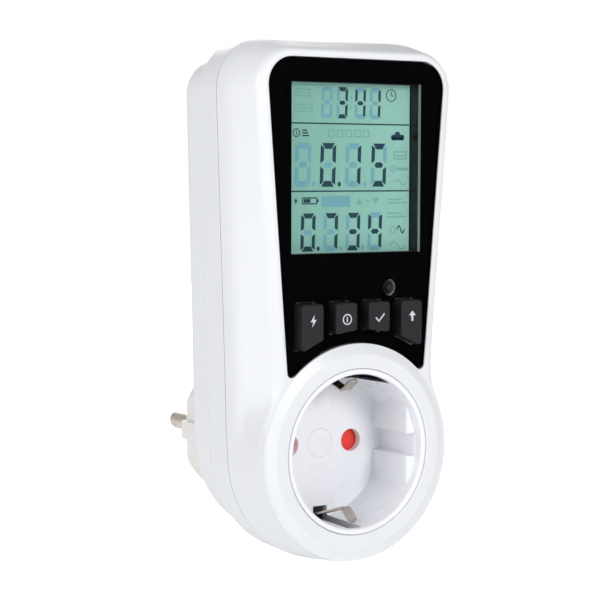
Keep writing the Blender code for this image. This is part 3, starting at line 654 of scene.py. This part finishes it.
def front_shell():
    inner = between(SHOULDER, BAND, (FRONT_WALL_BACK - SHOULDER_DEPTH) / (BAND_DEPTH - SHOULDER_DEPTH))
    shell = loft("front_shell", shell_rings([
        (RIM_FRONT, inset(RIM, 0.9)),
        (RIM_FRONT, RIM, 0.35),
        (RIM_FRONT + 0.35, RIM_TURN, 0.3),
        (SHOULDER_DEPTH, SHOULDER, 0.9),
        (BAND_DEPTH, BAND, 2.6),
        (SEAM, JOINT, 0.18),
        (SEAM, inset(JOINT, REBATE)),
        (SEAM - 1.7, inset(JOINT, REBATE)),
        (SEAM - 1.7, inset(BAND, WALL)),
        (FRONT_WALL_BACK, inset(inner, WALL)),
    ]), WHITE)
    ring = rounded([(0.0, 3.0), (RING_BASE + 0.5, 3.0), (RING_BASE + 0.5, RIM_FRONT),
                    (RING_BASE - 0.3, RIM_FRONT - 0.02, 1.2), (RING_RADIUS, 0.0, 0.9), (0.0, 0.0)])
    join(shell, lathe("ring", ring))
    for i, (x, z) in enumerate(SCREWS):
        side = copysign(1.0, x)
        web = sorted((x, x + side * (9.4 if z > LOW_HEIGHT + 10 else 7.6)))
        join(shell, prism(f"boss_{i}", circle(BOSS_RADIUS, 32, x, z), (10.6, 20.0)),
             box(f"boss_web_{i}", web, (10.7, SEAM - 1.85), (z - 0.8, z + 0.8)))
        cut(shell, prism(f"boss_hole_{i}", circle(SCREW_HOLE, 24, x, z), (11.1, 21.0)))
    hole = INSERT_RADIUS + 0.1
    mouth = rounded([
        (0.0, 7.0), (INSERT_HOLE, 7.0), (INSERT_HOLE, 2.0), (hole, 1.5),
        (hole, 0.0, 0.5), (hole + 1.2, -0.02), (hole + 1.2, -2.0), (0.0, -2.0),
    ])
    pocket = [(POCKET_FLOOR, 0.2), (RIM_FRONT + 0.2, 0.2), (RIM_FRONT + 0.06, 0.26),
              (RIM_FRONT - 0.01, 0.42), (-2.0, 0.42)]
    half, bottom, top = WINDOW
    cut(shell, lathe("insert_mouth", mouth),
        layered("panel_pocket", panel_outline, pocket),
        box("window", (-half - 0.1, half + 0.1 + MASK_SHIFT), (1.0, 6.0), (bottom - 0.1, top + 0.1)),
        *panel_cutters(1.0, 6.0))
    shown(shell, "housing_white", "front_housing")


def rear_shell():
    shell = loft("rear_shell", shell_rings([
        (BACK - WALL, inset(TIER, WALL)),
        (LEDGE - WALL, inset(TIER, WALL)),
        (LEDGE - WALL, inset(REAR, LIP_IN)),
        (SEAM - 1.4, inset(JOINT, LIP_IN)),
        (SEAM - 1.4, inset(JOINT, LIP_OUT)),
        (SEAM + GAP, inset(JOINT, LIP_OUT)),
        (SEAM + GAP, JOINT, 0.18),
        (LEDGE - 1.35, REAR, 0.08),
        (LEDGE - 1.3, inset(REAR, 0.16), 0.05),
        (LEDGE - 1.0, inset(REAR, 0.16), 0.05),
        (LEDGE - 0.95, inset(REAR, 0.02), 0.08),
        (LEDGE, inset(REAR, 0.8), 0.4),
        (LEDGE, TIER, 0.35),
        (BACK - 2.4, TIER, 1.8),
        (BACK, inset(TIER, 2.4), 1.8),
        (BACK, inset(TIER, 6.0)),
    ]), WHITE)
    for i, (x, z) in enumerate(SCREWS):
        join(shell, prism(f"column_{i}", circle(COLUMN_RADIUS, 48, x, z), (20.3, BACK - 1.0)))
        well = rounded([
            (0.0, WELL_FLOOR), (2.6, WELL_FLOOR), (2.6, BACK, 0.3), (3.4, BACK + 0.02),
            (3.4, BACK + 1.0), (0.0, BACK + 1.0),
        ], 4)
        cut(shell, lathe(f"screw_well_{i}", well, centre=(x, z), steps=48),
            prism(f"screw_hole_{i}", circle(SCREW_HOLE, 24, x, z), (19.0, 29.0)))
    mouth = PLUG_RADIUS + GAP
    cut(shell, lathe("plug_mouth", [(0.0, BACK - 4), (mouth, BACK - 4), (mouth, BACK + 1), (0.0, BACK + 1)]))
    shown(shell, "housing_white", "rear_housing")


def cross_screw(name, x, z):
    seat = SCREW_HEAD - 1.7
    screw = lathe(name, rounded([
        (0.0, SCREW_HEAD), (1.6, SCREW_HEAD, 0.6), (2.3, seat + 0.8, 0.4), (2.3, seat), (1.4, seat),
        (1.4, SCREW_START + 1.2, 0.2), (0.4, SCREW_START), (0.0, SCREW_START),
    ], 5), STEEL, (x, z), 48)
    slot = (seat + 0.8, SCREW_HEAD + 1.0)
    cut(screw, box("slot_across", (x - 1.35, x + 1.35), slot, (z - 0.2, z + 0.2)),
        box("slot_upright", (x - 0.2, x + 0.2), slot, (z - 1.35, z + 1.35)))
    shown(screw, "screw_steel", name)
    screw.name = name + "_fine"


# ---------------- display and keys


def window_outline(shift):
    """The printed window, with its right edge moved right by a shift."""
    half, bottom, top = WINDOW
    return rectangle((-half, half + shift), (bottom, top))


def lens_and_mask():
    front, back = LENS
    lens = layered("clear_lens", panel_outline, [*eased(front, 0.18, 3), (back, 0.0)], CLEAR)
    cut(lens, *panel_cutters(front - 1, back + 1))
    shown(lens, "clear_lens", "display_lens")
    front, back = MASK
    mask = prism("printed_mask", panel_outline(0.12), (front - 0.75, back), PANEL_BLACK)
    wide, narrow = MASK_SHIFT + 0.15, MASK_SHIFT - 0.15
    flare = [(front - 1, wide), (front, wide), (back, narrow), (back + 1, narrow)]
    cut(mask, prism("lens_seat", panel_outline(0.02), (front - 1, front - 0.05)),
        layered("mask_window", window_outline, flare), *panel_cutters(front - 1, back + 1))
    # The window's right side wall, facing left, gets the painted reflection in place of black
    mask.data.materials.append(PAINTED_EDGE_REFLECTION)
    half, bottom, top = (value * MM for value in WINDOW)
    for face in mask.data.polygons:
        beside = half < face.center.x < half + MM and bottom < face.center.z < top
        face.material_index = int(face.normal.x < -0.5 and beside)
    shown(mask, "panel_black", "display_mask")


def display_frame():
    x, (front, back), z = ranges("lcd_frame")
    half, bottom, top = WINDOW
    sill, rise, wide = 18.4, POCKET_FLOOR - 0.15, half + MASK_SHIFT
    made = prism("display_frame", soft_rectangle(x, z, 0.6), (front, back), FRAME_BLACK)
    join(made, box("collar", (-half + 0.05, wide + 0.05), (rise, front + 0.2), (bottom - 0.05, top + 0.05)))
    slope = [(0.0, wide - 0.1), (rise, wide - 0.1), (front + 0.3, 18.78)]
    inside = bottom + 0.2, top - 0.2
    cut(made, layered("collar_inside", lambda right: rectangle((-sill, right), inside), slope),
        box("sill_inside", (-sill, 18.72), (front - 0.1, back + 1), inside),
        box("crystal_seat", (-half - 0.1, half + 0.1), (front + 0.4, back + 1), (bottom - 0.3, top + 0.3)))
    shown(made, "black_plastic", "lcd_frame")


def key_caps():
    front = KEY_FRONT + 0.04
    for i, middle in enumerate(KEY_CENTRES, 1):
        layers = [*eased(front, 0.55, 6), (KEY_FLANGE + 0.2, 0.0)]
        cap = layered(f"key_cap_{i}", lambda grow: key_outline(middle, grow), layers, KEY_GREY)
        join(cap, prism("flange", key_outline(middle, 0.8), (KEY_FLANGE, KEY_BACK)))
        shown(cap, "key_plastic", f"key_{i}", body=f"key_{i}_body")
        legend = KEY_LEGENDS[i - 1](middle, LEGEND_HEIGHT)
        shown(glyphs(f"key_legend_{i}", legend, (front - 0.03, front + 0.02), LEGEND),
              "key_plastic", body=f"key_{i}_body")


def reset_stem():
    shoulder = RESET_FRONT + 1.0
    stem = lathe("reset_stem", rounded([
        (0.0, RESET_BACK), (1.0, RESET_BACK, 0.1), (1.0, KEY_BACK), (2.35, KEY_BACK, 0.1),
        (2.35, KEY_FLANGE, 0.1), (RESET_RADIUS, KEY_FLANGE), (RESET_RADIUS, shoulder, 0.25),
        (1.15, shoulder, 0.1), (1.0, RESET_FRONT, 0.35), (0.0, RESET_FRONT),
    ], 4), KEY_GREY, (RESET_X, RESET_HEIGHT), 48)
    shown(stem, "key_plastic", "reset_button", body="reset")


def glyphs(name, polygons, depths, surface):
    """Flat shapes, each one a thin closed plate, in one mesh."""
    shape = bmesh.new()
    for outline in polygons:
        add_solid(shape, [flat_ring(outline, depth) for depth in depths])
    return solid(name, shape, surface)


def bar(x, z, width, height):
    """A bar with its lower left corner at x, z."""
    return rectangle((x, x + width), (z, z + height))


def stroke(first, second, width):
    a, b = Vector(first), Vector(second)
    side = (b - a).normalized().orthogonal() * (width / 2)
    return [tuple(a + side), tuple(b + side), tuple(b - side), tuple(a - side)]


def ring_shape(x, z, radius, width, steps=28):
    outer, inner = circle(radius, steps, x, z), circle(radius - width, steps, x, z)
    return [[outer[i - 1], outer[i], inner[i], inner[i - 1]] for i in range(steps)]


def bolt(x, z, size=1.0):
    """A lightning bolt round x, z."""
    points = [(0.35, 1.5), (-0.85, -0.25), (-0.1, -0.25), (-0.4, -1.5), (0.85, 0.3), (0.1, 0.3)]
    return [[(x + a * size, z + b * size) for a, b in points]]


def coin(x, z, size=1.0):
    stem = bar(x - 0.15 * size, z - 0.65 * size, 0.3 * size, 1.3 * size)
    return [*ring_shape(x, z, 1.35 * size, 0.3 * size), stem]


def tick(x, z):
    return [stroke((x - 1.25, z + 0.1), (x - 0.35, z - 0.85), 0.36),
            stroke((x - 0.45, z - 0.95), (x + 1.3, z + 1.0), 0.36)]


def arrow_up(x, z):
    head = [(x - 1.0, z + 0.2), (x + 1.0, z + 0.2), (x, z + 1.4)]
    return [head, bar(x - 0.3, z - 1.2, 0.6, 1.4)]


KEY_LEGENDS = (bolt, coin, tick, arrow_up)


# ---------------- liquid crystal display

SEGMENTS = {"0": "abcdef", "1": "bc", "3": "abgcd", "4": "fgbc", "5": "afgcd", "7": "abc", " ": ""}
LEAN = 0.03


def digit_segments(x, z, width, height):
    """The seven segments of a digit whose lower left corner is at x, z."""
    thick, tall = width * 0.22, height * 0.135
    middle, gap = height / 2, width * 0.035
    tip, foot = thick * 0.45, height * 0.07
    lower = foot * 0.6, middle - gap - foot * 0.35
    upper = middle + gap + foot * 0.35, height - foot * 0.6

    def upright(outer, inner, low, high):
        return [(outer, low), (outer, high), (inner, high - foot * 0.9), (inner, low + foot * 0.9)]

    def level(outer, inner):
        inset_by = thick + gap * 2.2
        return [(tip, outer), (width - tip, outer), (width - inset_by, inner), (inset_by, inner)]

    point_in, bend, rise = thick * 0.95, thick * 1.5, tall * 0.48
    shapes = {
        "a": level(height, height - tall),
        "d": level(0.0, tall),
        "g": [(point_in, middle), (bend, middle + rise), (width - bend, middle + rise),
              (width - point_in, middle), (width - bend, middle - rise), (bend, middle - rise)],
        "f": upright(0.0, thick, *upper),
        "b": upright(width, width - thick, *upper),
        "e": upright(0.0, thick, *lower),
        "c": upright(width, width - thick, *lower),
    }
    return {key: [(x + a + LEAN * b, z + b) for a, b in outline] for key, outline in shapes.items()}


def display_row(text, lefts, z, width, height, dark, pale):
    for character, left in zip(text, lefts):
        for key, outline in digit_segments(left, z, width, height).items():
            (dark if key in SEGMENTS[character] else pale).append(outline)


def point(x, z, width, height):
    """An eight-sided dot."""
    return [(x + width / 2 * cos(t * pi / 4), z + height / 2 * sin(t * pi / 4))
            for t in range(8)]


def wave(x, z, width, height, thick):
    """Two half waves as a run of short strokes."""
    path = [(x + width * i / 12, z + height / 2 * sin(pi * i / 6)) for i in range(13)]
    return [stroke(a, b, thick) for a, b in zip(path, path[1:])]


def frame_box(x, z, width, height, line):
    """A rectangle drawn with a line."""
    side = z + line, line, height - 2 * line
    return [bar(x, z, width, line), bar(x, z + height - line, width, line),
            bar(x, *side), bar(x + width - line, *side)]


def display_marks():
    """Everything the display shows, as dark, pale and faint shapes.

    There are three rows of digits with their points, two rules between them, and small pictograms.
    """
    dark, pale, faint = [], [], []
    display_row(" 341", (-8.1, -3.57, 1.82, 6.34), 82.1, 3.15, 7.65, dark, pale)
    display_row(" 015", (-15.8, -8.5, -1.0, 6.75), 65.35, 4.55, 10.7, dark, pale)
    display_row("0734", (-14.1, -7.45, -0.8, 5.85), 49.6, 4.2, 9.3, dark, pale)
    dark += [point(-2.7, 66.0, 0.95, 1.3), point(-8.85, 50.25, 0.85, 1.2)]
    pale += [point(-10.2, 66.1, 0.95, 1.3), point(4.95, 65.95, 0.95, 1.3), point(-2.2, 50.25, 0.85, 1.2),
             point(4.45, 50.25, 0.85, 1.2), point(0.82, 87.4, 0.6, 0.7), point(0.62, 84.7, 0.6, 0.7)]
    rules = [bar(-18.5, height, 37.0, 0.34) for height in (80.62, 64.12)]
    x, z = 12.86, 88.05
    clock = [*ring_shape(x, z, 1.58, 0.22), stroke((x, z + 0.95), (x, z), 0.2),
             stroke((x, z + 0.05), (x + 0.75, z - 0.2), 0.2)]
    price = [*coin(-15.3, 78.45, 0.78), *(bar(-13.6, 77.6 + 0.65 * i, 2.0 - 0.3 * i, 0.34) for i in range(3))]
    cloud = [point(13.6, 77.6, 1.5, 1.5), point(14.9, 78.2, 1.9, 1.9), point(16.3, 77.65, 1.5, 1.5),
             bar(13.4, 76.95, 3.1, 0.7)]
    battery = [*bolt(-15.4, 61.95, 0.66), *frame_box(-13.6, 61.1, 4.4, 1.7, 0.28),
               bar(-9.2, 61.6, 0.4, 0.7), bar(-13.1, 61.5, 1.9, 0.9)]
    dark += [*rules, *clock, *price, *cloud, *battery, *wave(14.9, 54.6, 2.3, 1.9, 0.3)]
    pale += [bar(-7.8 + 1.2 * i, 60.45, 1.08, 2.65) for i in range(7)]
    faint += [*frame_box(-15.5, 87.2, 4.2, 1.9, 0.3), *frame_box(-16.0, 83.5, 5.4, 1.9, 0.3),
              bar(-15.0, 88.0, 3.2, 0.3), bar(-15.4, 84.3, 4.2, 0.3)]
    faint += [shape for i in range(5) for shape in frame_box(-6.0 + 2.6 * i, 77.5, 1.9, 1.9, 0.3)]
    faint += [[(2.2, 60.9), (4.4, 60.9), (3.3, 62.6)], [(7.2, 62.6), (9.4, 62.6), (8.3, 60.9)],
              bar(5.2, 61.6, 1.2, 0.35)]
    faint += [*frame_box(13.8, 72.1, 4.0, 2.1, 0.3), bar(14.4, 72.9, 2.8, 0.3), *coin(13.6, 69.8, 0.7),
              bar(14.9, 69.4, 3.2, 0.7), *wave(14.2, 66.4, 3.4, 1.4, 0.28)]
    for height in (61.1, 57.6):
        faint += [bar(11.8, height, 6.0, 0.35), bar(11.8, height + 0.9, 4.6, 0.35)]
    faint += [*ring_shape(13.6, 54.6, 0.95, 0.26, 18), *wave(12.8, 50.6, 4.8, 1.9, 0.3)]
    return dark, pale, faint


def liquid_crystal():
    (low_x, high_x), (front, back), (low_z, high_z) = ranges("lcd_glass")

    def outline(grow):
        return soft_rectangle((low_x - grow, high_x + grow), (low_z - grow, high_z + grow), 0.3)

    cell = layered("crystal_cell", outline, [*eased(front + 0.05, 0.1, 2), (back, 0.0)], GREEN_LCD)
    shown(cell, "lcd_glass", "lcd_glass")
    inks = (("dark", DARK_CRYSTAL), ("pale", PALE_CRYSTAL), ("faint", FAINT_CRYSTAL))
    for shapes, (name, surface) in zip(display_marks(), inks):
        shown(glyphs(f"segments_{name}", shapes, (front, front + 0.03), surface), "lcd_glass")


# ---------------- socket


def block_outline(side, grow):
    """The solid flat at one side of the recess, with the notch for the plug's rib."""
    right = SIDE_FLAT - grow
    notch = NOTCH_HEIGHT - grow
    edge = degrees(acos(right / 20.0))
    corners = arc(0.0, 0.0, 20.0, -edge, edge, 24)
    corners += [(right, notch, 0.45), (18.8 - grow, notch, 0.3), (18.8 - grow, -notch, 0.3),
                (right, -notch, 0.45)]
    outline = rounded(corners, 5)
    return outline if side > 0 else [(-x, z) for x, z in outline[::-1]]


def side_block(side):
    layers = [*eased(BLOCK_FRONTS[side], 0.7, 6), (RECESS_DEPTH + 1.0, 0.0)]
    return layered(f"block_{side}", lambda grow: block_outline(side, grow), layers)


def socket_cup():
    cup = lathe("socket_cup", rounded([
        (0.0, FLOOR_BACK), (INSERT_RADIUS, FLOOR_BACK, 0.3), (INSERT_RADIUS, 6.2), (24.0, 6.2, 0.2),
        (24.0, 4.7, 0.2), (INSERT_RADIUS, 4.7), (INSERT_RADIUS, 0.1, 0.35), (19.25, 0.1, 0.6),
        (18.9, RECESS_DEPTH, 0.35), (0.0, RECESS_DEPTH),
    ]), INSERT_PAINTED_LIGHT_BLUE_SHADE)
    join(cup, side_block(1), side_block(-1))
    reach = INSERT_RADIUS + GAP / 2
    end = degrees(asin(CLIP_EDGE / reach))
    cut(cup, prism("top_opening", arc(0.0, 0.0, reach, end, 180.0 - end, 24), (CLIP_FRONT, 21.0)),
        box("bottom_slot", (-CLIP_SLOT, CLIP_SLOT), (CLIP_FRONT, 21.0), (-reach, -CLIP_EDGE)))
    flare, seat = CONTACT_HOLE + 0.7, PIVOT_HEAD + 0.2
    hole_profile = rounded([
        (0.0, 21.0), (CONTACT_HOLE, 21.0), (CONTACT_HOLE, RECESS_DEPTH, 0.22),
        (flare, RECESS_DEPTH - 0.01), (flare, 16.0), (0.0, 16.0),
    ], 4)
    seat_profile = rounded([
        (0.0, 18.7), (seat, 18.7), (seat, RECESS_DEPTH, 0.08),
        (seat + 0.3, RECESS_DEPTH - 0.01), (seat + 0.3, 16.0), (0.0, 16.0),
    ], 3)
    mark = [(3.42, RECESS_DEPTH + 0.05), (3.58, RECESS_DEPTH + 0.05), (3.58, 17.0), (3.42, 17.0)]
    cut(cup, *(lathe(f"contact_hole_{side}", hole_profile, centre=(side * PIN_SPACING / 2, 0.0), steps=72)
               for side in (1, -1)),
        lathe("pivot_seat", seat_profile, steps=72),
        prism("pivot_hole", circle(PIVOT_HOLE, 32), (16.0, 21.0)),
        lathe("ejector_mark", mark, centre=(0.0, 10.2), steps=72))
    shown(cup, "insert_white", "socket_insert")


def pivot_pin():
    pivot = lathe("pivot_pin", rounded([
        (0.0, 23.4), (1.4, 23.4, 0.3), (1.4, 18.5), (PIVOT_HEAD + 0.17, 18.5),
        (PIVOT_HEAD + 0.17, RECESS_DEPTH, 0.08), (0.0, RECESS_DEPTH),
    ], 4), INSERT_PAINTED_LIGHT_BLUE_SHADE, steps=72)
    cut(pivot, box("pivot_slot", (-4.0, 4.0), (17.0, RECESS_DEPTH + 0.06), (-0.13, 0.13)))
    shown(pivot, "insert_white", "shutter_pivot")


def rotor():
    """The red shutter that stands behind the contact holes."""
    front, back = ranges("shutter_rotor")[1]
    reach = PIN_SPACING / 2

    def outline(grow):
        radius = 4.0 + grow
        return arc(reach, 0.0, radius, -90.0, 90.0, 28) + arc(-reach, 0.0, radius, 90.0, 270.0, 28)

    made = layered("shutter_plate", outline, [*eased(front, 0.25, 4), (back, 0.0)], SHUTTER_RED)
    cut(made, prism("rotor_hole", circle(PIVOT_HOLE, 40), (front - 1, back + 1)))
    shown(made, "shutter_red", "shutter_rotor", body="shutter")


def smooth_path(points, steps=6):
    """A Catmull-Rom line through the points."""
    line = [Vector(point) for point in points]
    line = [line[0] * 2 - line[1], *line, line[-1] * 2 - line[-2]]
    path = []
    for p0, p1, p2, p3 in zip(line, line[1:], line[2:], line[3:]):
        for k in range(steps):
            t = k / steps
            path.append(0.5 * (2 * p1 + (p2 - p0) * t + (2 * p0 - 5 * p1 + 4 * p2 - p3) * t**2
                               + (3 * p1 - p0 - 3 * p2 + p3) * t**3))
    return path + [line[-2]]


def strip(name, path, width, thickness, surface=None, tip=0.0):
    """Sheet metal along a line of (z, depth) points, with eased edges.

    Its first end is round, with radius tip, where one is given.
    """
    line = smooth_path(path)
    section = soft_rectangle((-width / 2, width / 2), (-thickness / 2, thickness / 2), thickness * 0.3)
    if tip:
        line[1:1] = [line[0].lerp(line[1], share) for share in (0.08, 0.2, 0.4, 0.7)]
    rings, run = [], 0.0
    for i, spot in enumerate(line):
        if i:
            run += (spot - line[i - 1]).length
        along = (line[min(i + 1, len(line) - 1)] - line[max(i - 1, 0)]).normalized()
        across = Vector((-along.y, along.x))
        narrow = max(sqrt(1 - (1 - run / tip) ** 2), 0.12) if run < tip else 1.0
        spots = [(u * narrow, *(spot + across * v)) for u, v in section]
        rings.append([place(x, depth, z) for x, z, depth in spots])
    return loft(name, rings, surface)


def earth_clip():
    """Both sprung clips of the socket, which are one bent strip with a bar across."""
    arm = [(17.75, 2.3), (16.7, 3.7), (15.45, 5.3), (14.98, 6.2), (14.98, 6.9), (15.3, 8.0), (16.1, 10.6),
           (17.2, 14.3), (17.9, 17.0), (18.05, 19.0), (18.0, 21.5), (17.6, 24.0), (17.5, 26.0),
           (17.5, 30.0), (17.5, 34.3)]
    half, sheet, tip = CLIP_WIDTH / 2, 0.7, 1.3
    clip = strip("earth_clip", arm, CLIP_WIDTH, sheet, NICKEL, tip)
    join(clip, strip("lower_arm", [(-z, depth) for z, depth in arm], CLIP_WIDTH, sheet, tip=tip),
         box("cross_bar", (-half, half), (25.5, 26.2), (-17.5, 17.5)))
    shown(clip, "nickel", "earth_strap")


# ---------------- plug


def plug_body():
    inner = BACK - WALL - GAP
    body = lathe("plug_body", rounded([
        (0.0, PLUG_FACE), (PLUG_RADIUS, PLUG_FACE, 1.2), (PLUG_RADIUS, inner), (21.3, inner, 0.2),
        (21.3, 35.6, 0.2), (14.6, 35.6, 0.2), (14.6, 38.65), (0.0, 38.65),
    ], 6), PLUG_WHITE)
    for side in (-1, 1):
        pin = side * PIN_SPACING / 2
        cutters = [prism(f"pin_hole_{side}", circle(PIN_RADIUS + 0.15, 48, pin), (37.0, 59.0))]
        for level in (-1, 1):
            x, z = sorted((side * SIDE_FLAT, side * 20.0)), sorted((level * 2.35, level * 12.0))
            cutters.append(box(f"side_flat_{side}_{level}", x, (BACK + 0.6, 59.0), z))
        groove, passage = sorted((side * 17.0, side * 20.0)), sorted((side * 17.0, side * 18.35))
        cutters += [box(f"clip_groove_{side}", (-2.9, 2.9), (BACK + 0.4, 57.0), groove),
                    box(f"clip_passage_{side}", (-2.9, 2.9), (35.0, BACK + 1.0), passage)]
        cut(body, *cutters)
    shown(body, "plug_white", "plug_base")


def plug_contacts():
    for wire, side in (("live", 1), ("neutral", -1)):
        pin = lathe(f"pin_{wire}", rounded([
            (0.0, PIN_TIP), (1.35, PIN_TIP, 0.5), (PIN_RADIUS, PIN_TIP - 1.6, 1.2), (PIN_RADIUS, 38.35),
            (3.4, 38.35, 0.1), (3.4, 37.75, 0.1), (0.0, 37.75),
        ], 8), PIN_METAL, (side * PIN_SPACING / 2, 0.0), 64)
        shown(pin, "nickel", f"{wire}_pin")
    path = [(17.45, 56.5), (17.75, 53.0), (17.95, 48.5), (17.75, 44.0), (17.5, 40.6), (17.5, 37.5),
            (17.5, 34.6)]
    for end, side in (("top", 1), ("bottom", -1)):
        clip = strip(f"side_clip_{end}", [(side * z, depth) for z, depth in path], 5.2, 0.6, NICKEL)
        shown(clip, "nickel", f"plug_earth_clip_{end}")


# ---------------- inner parts

INNER = {
    LIGHT_GUIDE: ("lcd_backlight",),
    ZEBRA: ("zebra_strip_bottom", "zebra_strip_top"),
    BOARD: ("display_board", "power_board"),
    CHIP_BLACK: ("display_controller", "metering_chip", "board_header",
                 *(f"key_plunger_{i}" for i in range(1, 5))),
    YELLOW_CASE: ("film_capacitor",),
    BLUE_COAT: ("varistor",),
    DARK_SLEEVE: ("filter_capacitor",),
    CERAMIC: ("fuse",),
    GREEN_SLEEVE: ("battery_pack",),
    MANGANIN: ("shunt_strip",),
    STEEL: ("shutter_spring", "reset_switch", *(f"key_switch_{i}" for i in range(1, 5))),
    BRASS: ("live_contact", "neutral_contact", "live_busbar", "neutral_busbar"),
    BROWN_WIRE: ("live_wire",),
    BLUE_WIRE: ("neutral_wire",),
    PLUG_WHITE: ("contact_carrier",),
}


def dress_inner_parts():
    for surface, names in INNER.items():
        for name in names:
            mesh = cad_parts[name].data
            mesh.materials.clear()
            mesh.materials.append(surface)
            shade(mesh, 30)


# ---------------- studio

CAMERA_AZIMUTH, CAMERA_ELEVATION, CAMERA_ROLL = 33.01, 4.163, 0.153  # degrees
CAMERA_DISTANCE, CAMERA_ACROSS, CAMERA_UP = 441.66, 14.70, -37.56  # where the ring's middle lies
CAMERA_LENS = 107.304
SURROUND_LIGHT, KEY_POWER, FILL_POWER, BACK_POWER = 0.38, 3.7, 3.2, 2.4
FLOOR_GLOW, FLOOR_WHITE = 0.18, 0.55  # given off, and added again for the camera alone
LIGHTS_AIM = Vector((0.0, -0.04, 0.035))


def camera():
    azimuth, elevation, roll = (radians(a) for a in (CAMERA_AZIMUTH, CAMERA_ELEVATION, CAMERA_ROLL))
    ahead = Vector((sin(azimuth) * cos(elevation), cos(azimuth) * cos(elevation), -sin(elevation)))
    level = Vector((cos(azimuth), -sin(azimuth), 0.0))
    upright = level.cross(ahead)
    right = level * cos(roll) + upright * sin(roll)
    up = upright * cos(roll) - level * sin(roll)
    eye = place(0.0, 0.0, 0.0) - (right * CAMERA_ACROSS + up * CAMERA_UP + ahead * CAMERA_DISTANCE) * MM
    data = bpy.data.cameras.new("camera")
    data.lens = CAMERA_LENS
    data.sensor_width = 36.0
    data.clip_start = 0.01
    obj = bpy.data.objects.new("camera", data)
    obj.matrix_world = Matrix.Translation(eye) @ Matrix((right, up, -ahead)).transposed().to_4x4()
    bpy.context.scene.collection.objects.link(obj)
    bpy.context.scene.camera = obj


def soft_light(name, spot, size, power):
    data = bpy.data.lights.new(name, "AREA")
    data.shape = "DISK"
    data.size = size
    data.energy = power
    obj = bpy.data.objects.new(name, data)
    obj.location = spot
    obj.rotation_euler = (LIGHTS_AIM - Vector(spot)).to_track_quat("-Z", "Y").to_euler()
    bpy.context.scene.collection.objects.link(obj)


def lights():
    soft_light("key_light", (0.12, -0.93, 0.34), 0.35, KEY_POWER)
    soft_light("fill_light", (-0.85, -0.25, 0.30), 0.50, FILL_POWER)
    soft_light("back_light", (0.40, 0.90, 0.40), 0.50, BACK_POWER)


def surroundings():
    """A white world that lights the scene more weakly than the camera sees it."""
    world = bpy.data.worlds.new("studio")
    world.use_nodes = True
    tree = world.node_tree
    surround = tree.nodes["Background"]
    surround.inputs["Strength"].default_value = SURROUND_LIGHT
    behind = tree.nodes.new("ShaderNodeBackground")
    for background in (surround, behind):
        background.inputs["Color"].default_value = (1.0, 1.0, 1.0, 1.0)
    seen = tree.nodes.new("ShaderNodeLightPath")
    either = tree.nodes.new("ShaderNodeMixShader")
    for source, target in zip((seen.outputs["Is Camera Ray"], surround.outputs[0], behind.outputs[0]),
                              either.inputs):
        tree.links.new(source, target)
    tree.links.new(either.outputs[0], tree.nodes["World Output"].inputs["Surface"])
    bpy.context.scene.world = world
    bpy.context.scene.view_settings.view_transform = "Standard"


def floor():
    """Pale paper that glows a little, and more for the camera, so that its far edge doesn't show."""
    reach, height = 3.0, CAD_BOX[0].z - 0.0002
    mesh = bpy.data.meshes.new("floor")
    corners = [(x, y, height) for x, y in rectangle((-reach, reach), (-reach, reach))]
    mesh.from_pydata(corners, [], [(0, 1, 2, 3)])
    paper = moulded("floor_paper", (0.93, 0.93, 0.93), 0.8, 0.5, 0.01, 0.004)
    tree = paper.node_tree
    shader = tree.nodes["Principled BSDF"]
    shader.inputs["Emission Color"].default_value = (1.0, 1.0, 1.0, 1.0)
    seen = tree.nodes.new("ShaderNodeLightPath")
    glow = tree.nodes.new("ShaderNodeMath")
    glow.operation = "MULTIPLY_ADD"
    glow.inputs[1].default_value = FLOOR_WHITE
    glow.inputs[2].default_value = FLOOR_GLOW
    tree.links.new(seen.outputs["Is Camera Ray"], glow.inputs[0])
    tree.links.new(glow.outputs[0], shader.inputs["Emission Strength"])
    linked("floor", mesh, paper)


front_shell()
rear_shell()
for number, (screw_x, screw_z) in enumerate(SCREWS, 1):
    cross_screw(f"housing_screw_{number}", screw_x, screw_z)
lens_and_mask()
display_frame()
key_caps()
reset_stem()
liquid_crystal()
socket_cup()
pivot_pin()
rotor()
earth_clip()
plug_body()
plug_contacts()
dress_inner_parts()
camera()
lights()
surroundings()
floor()
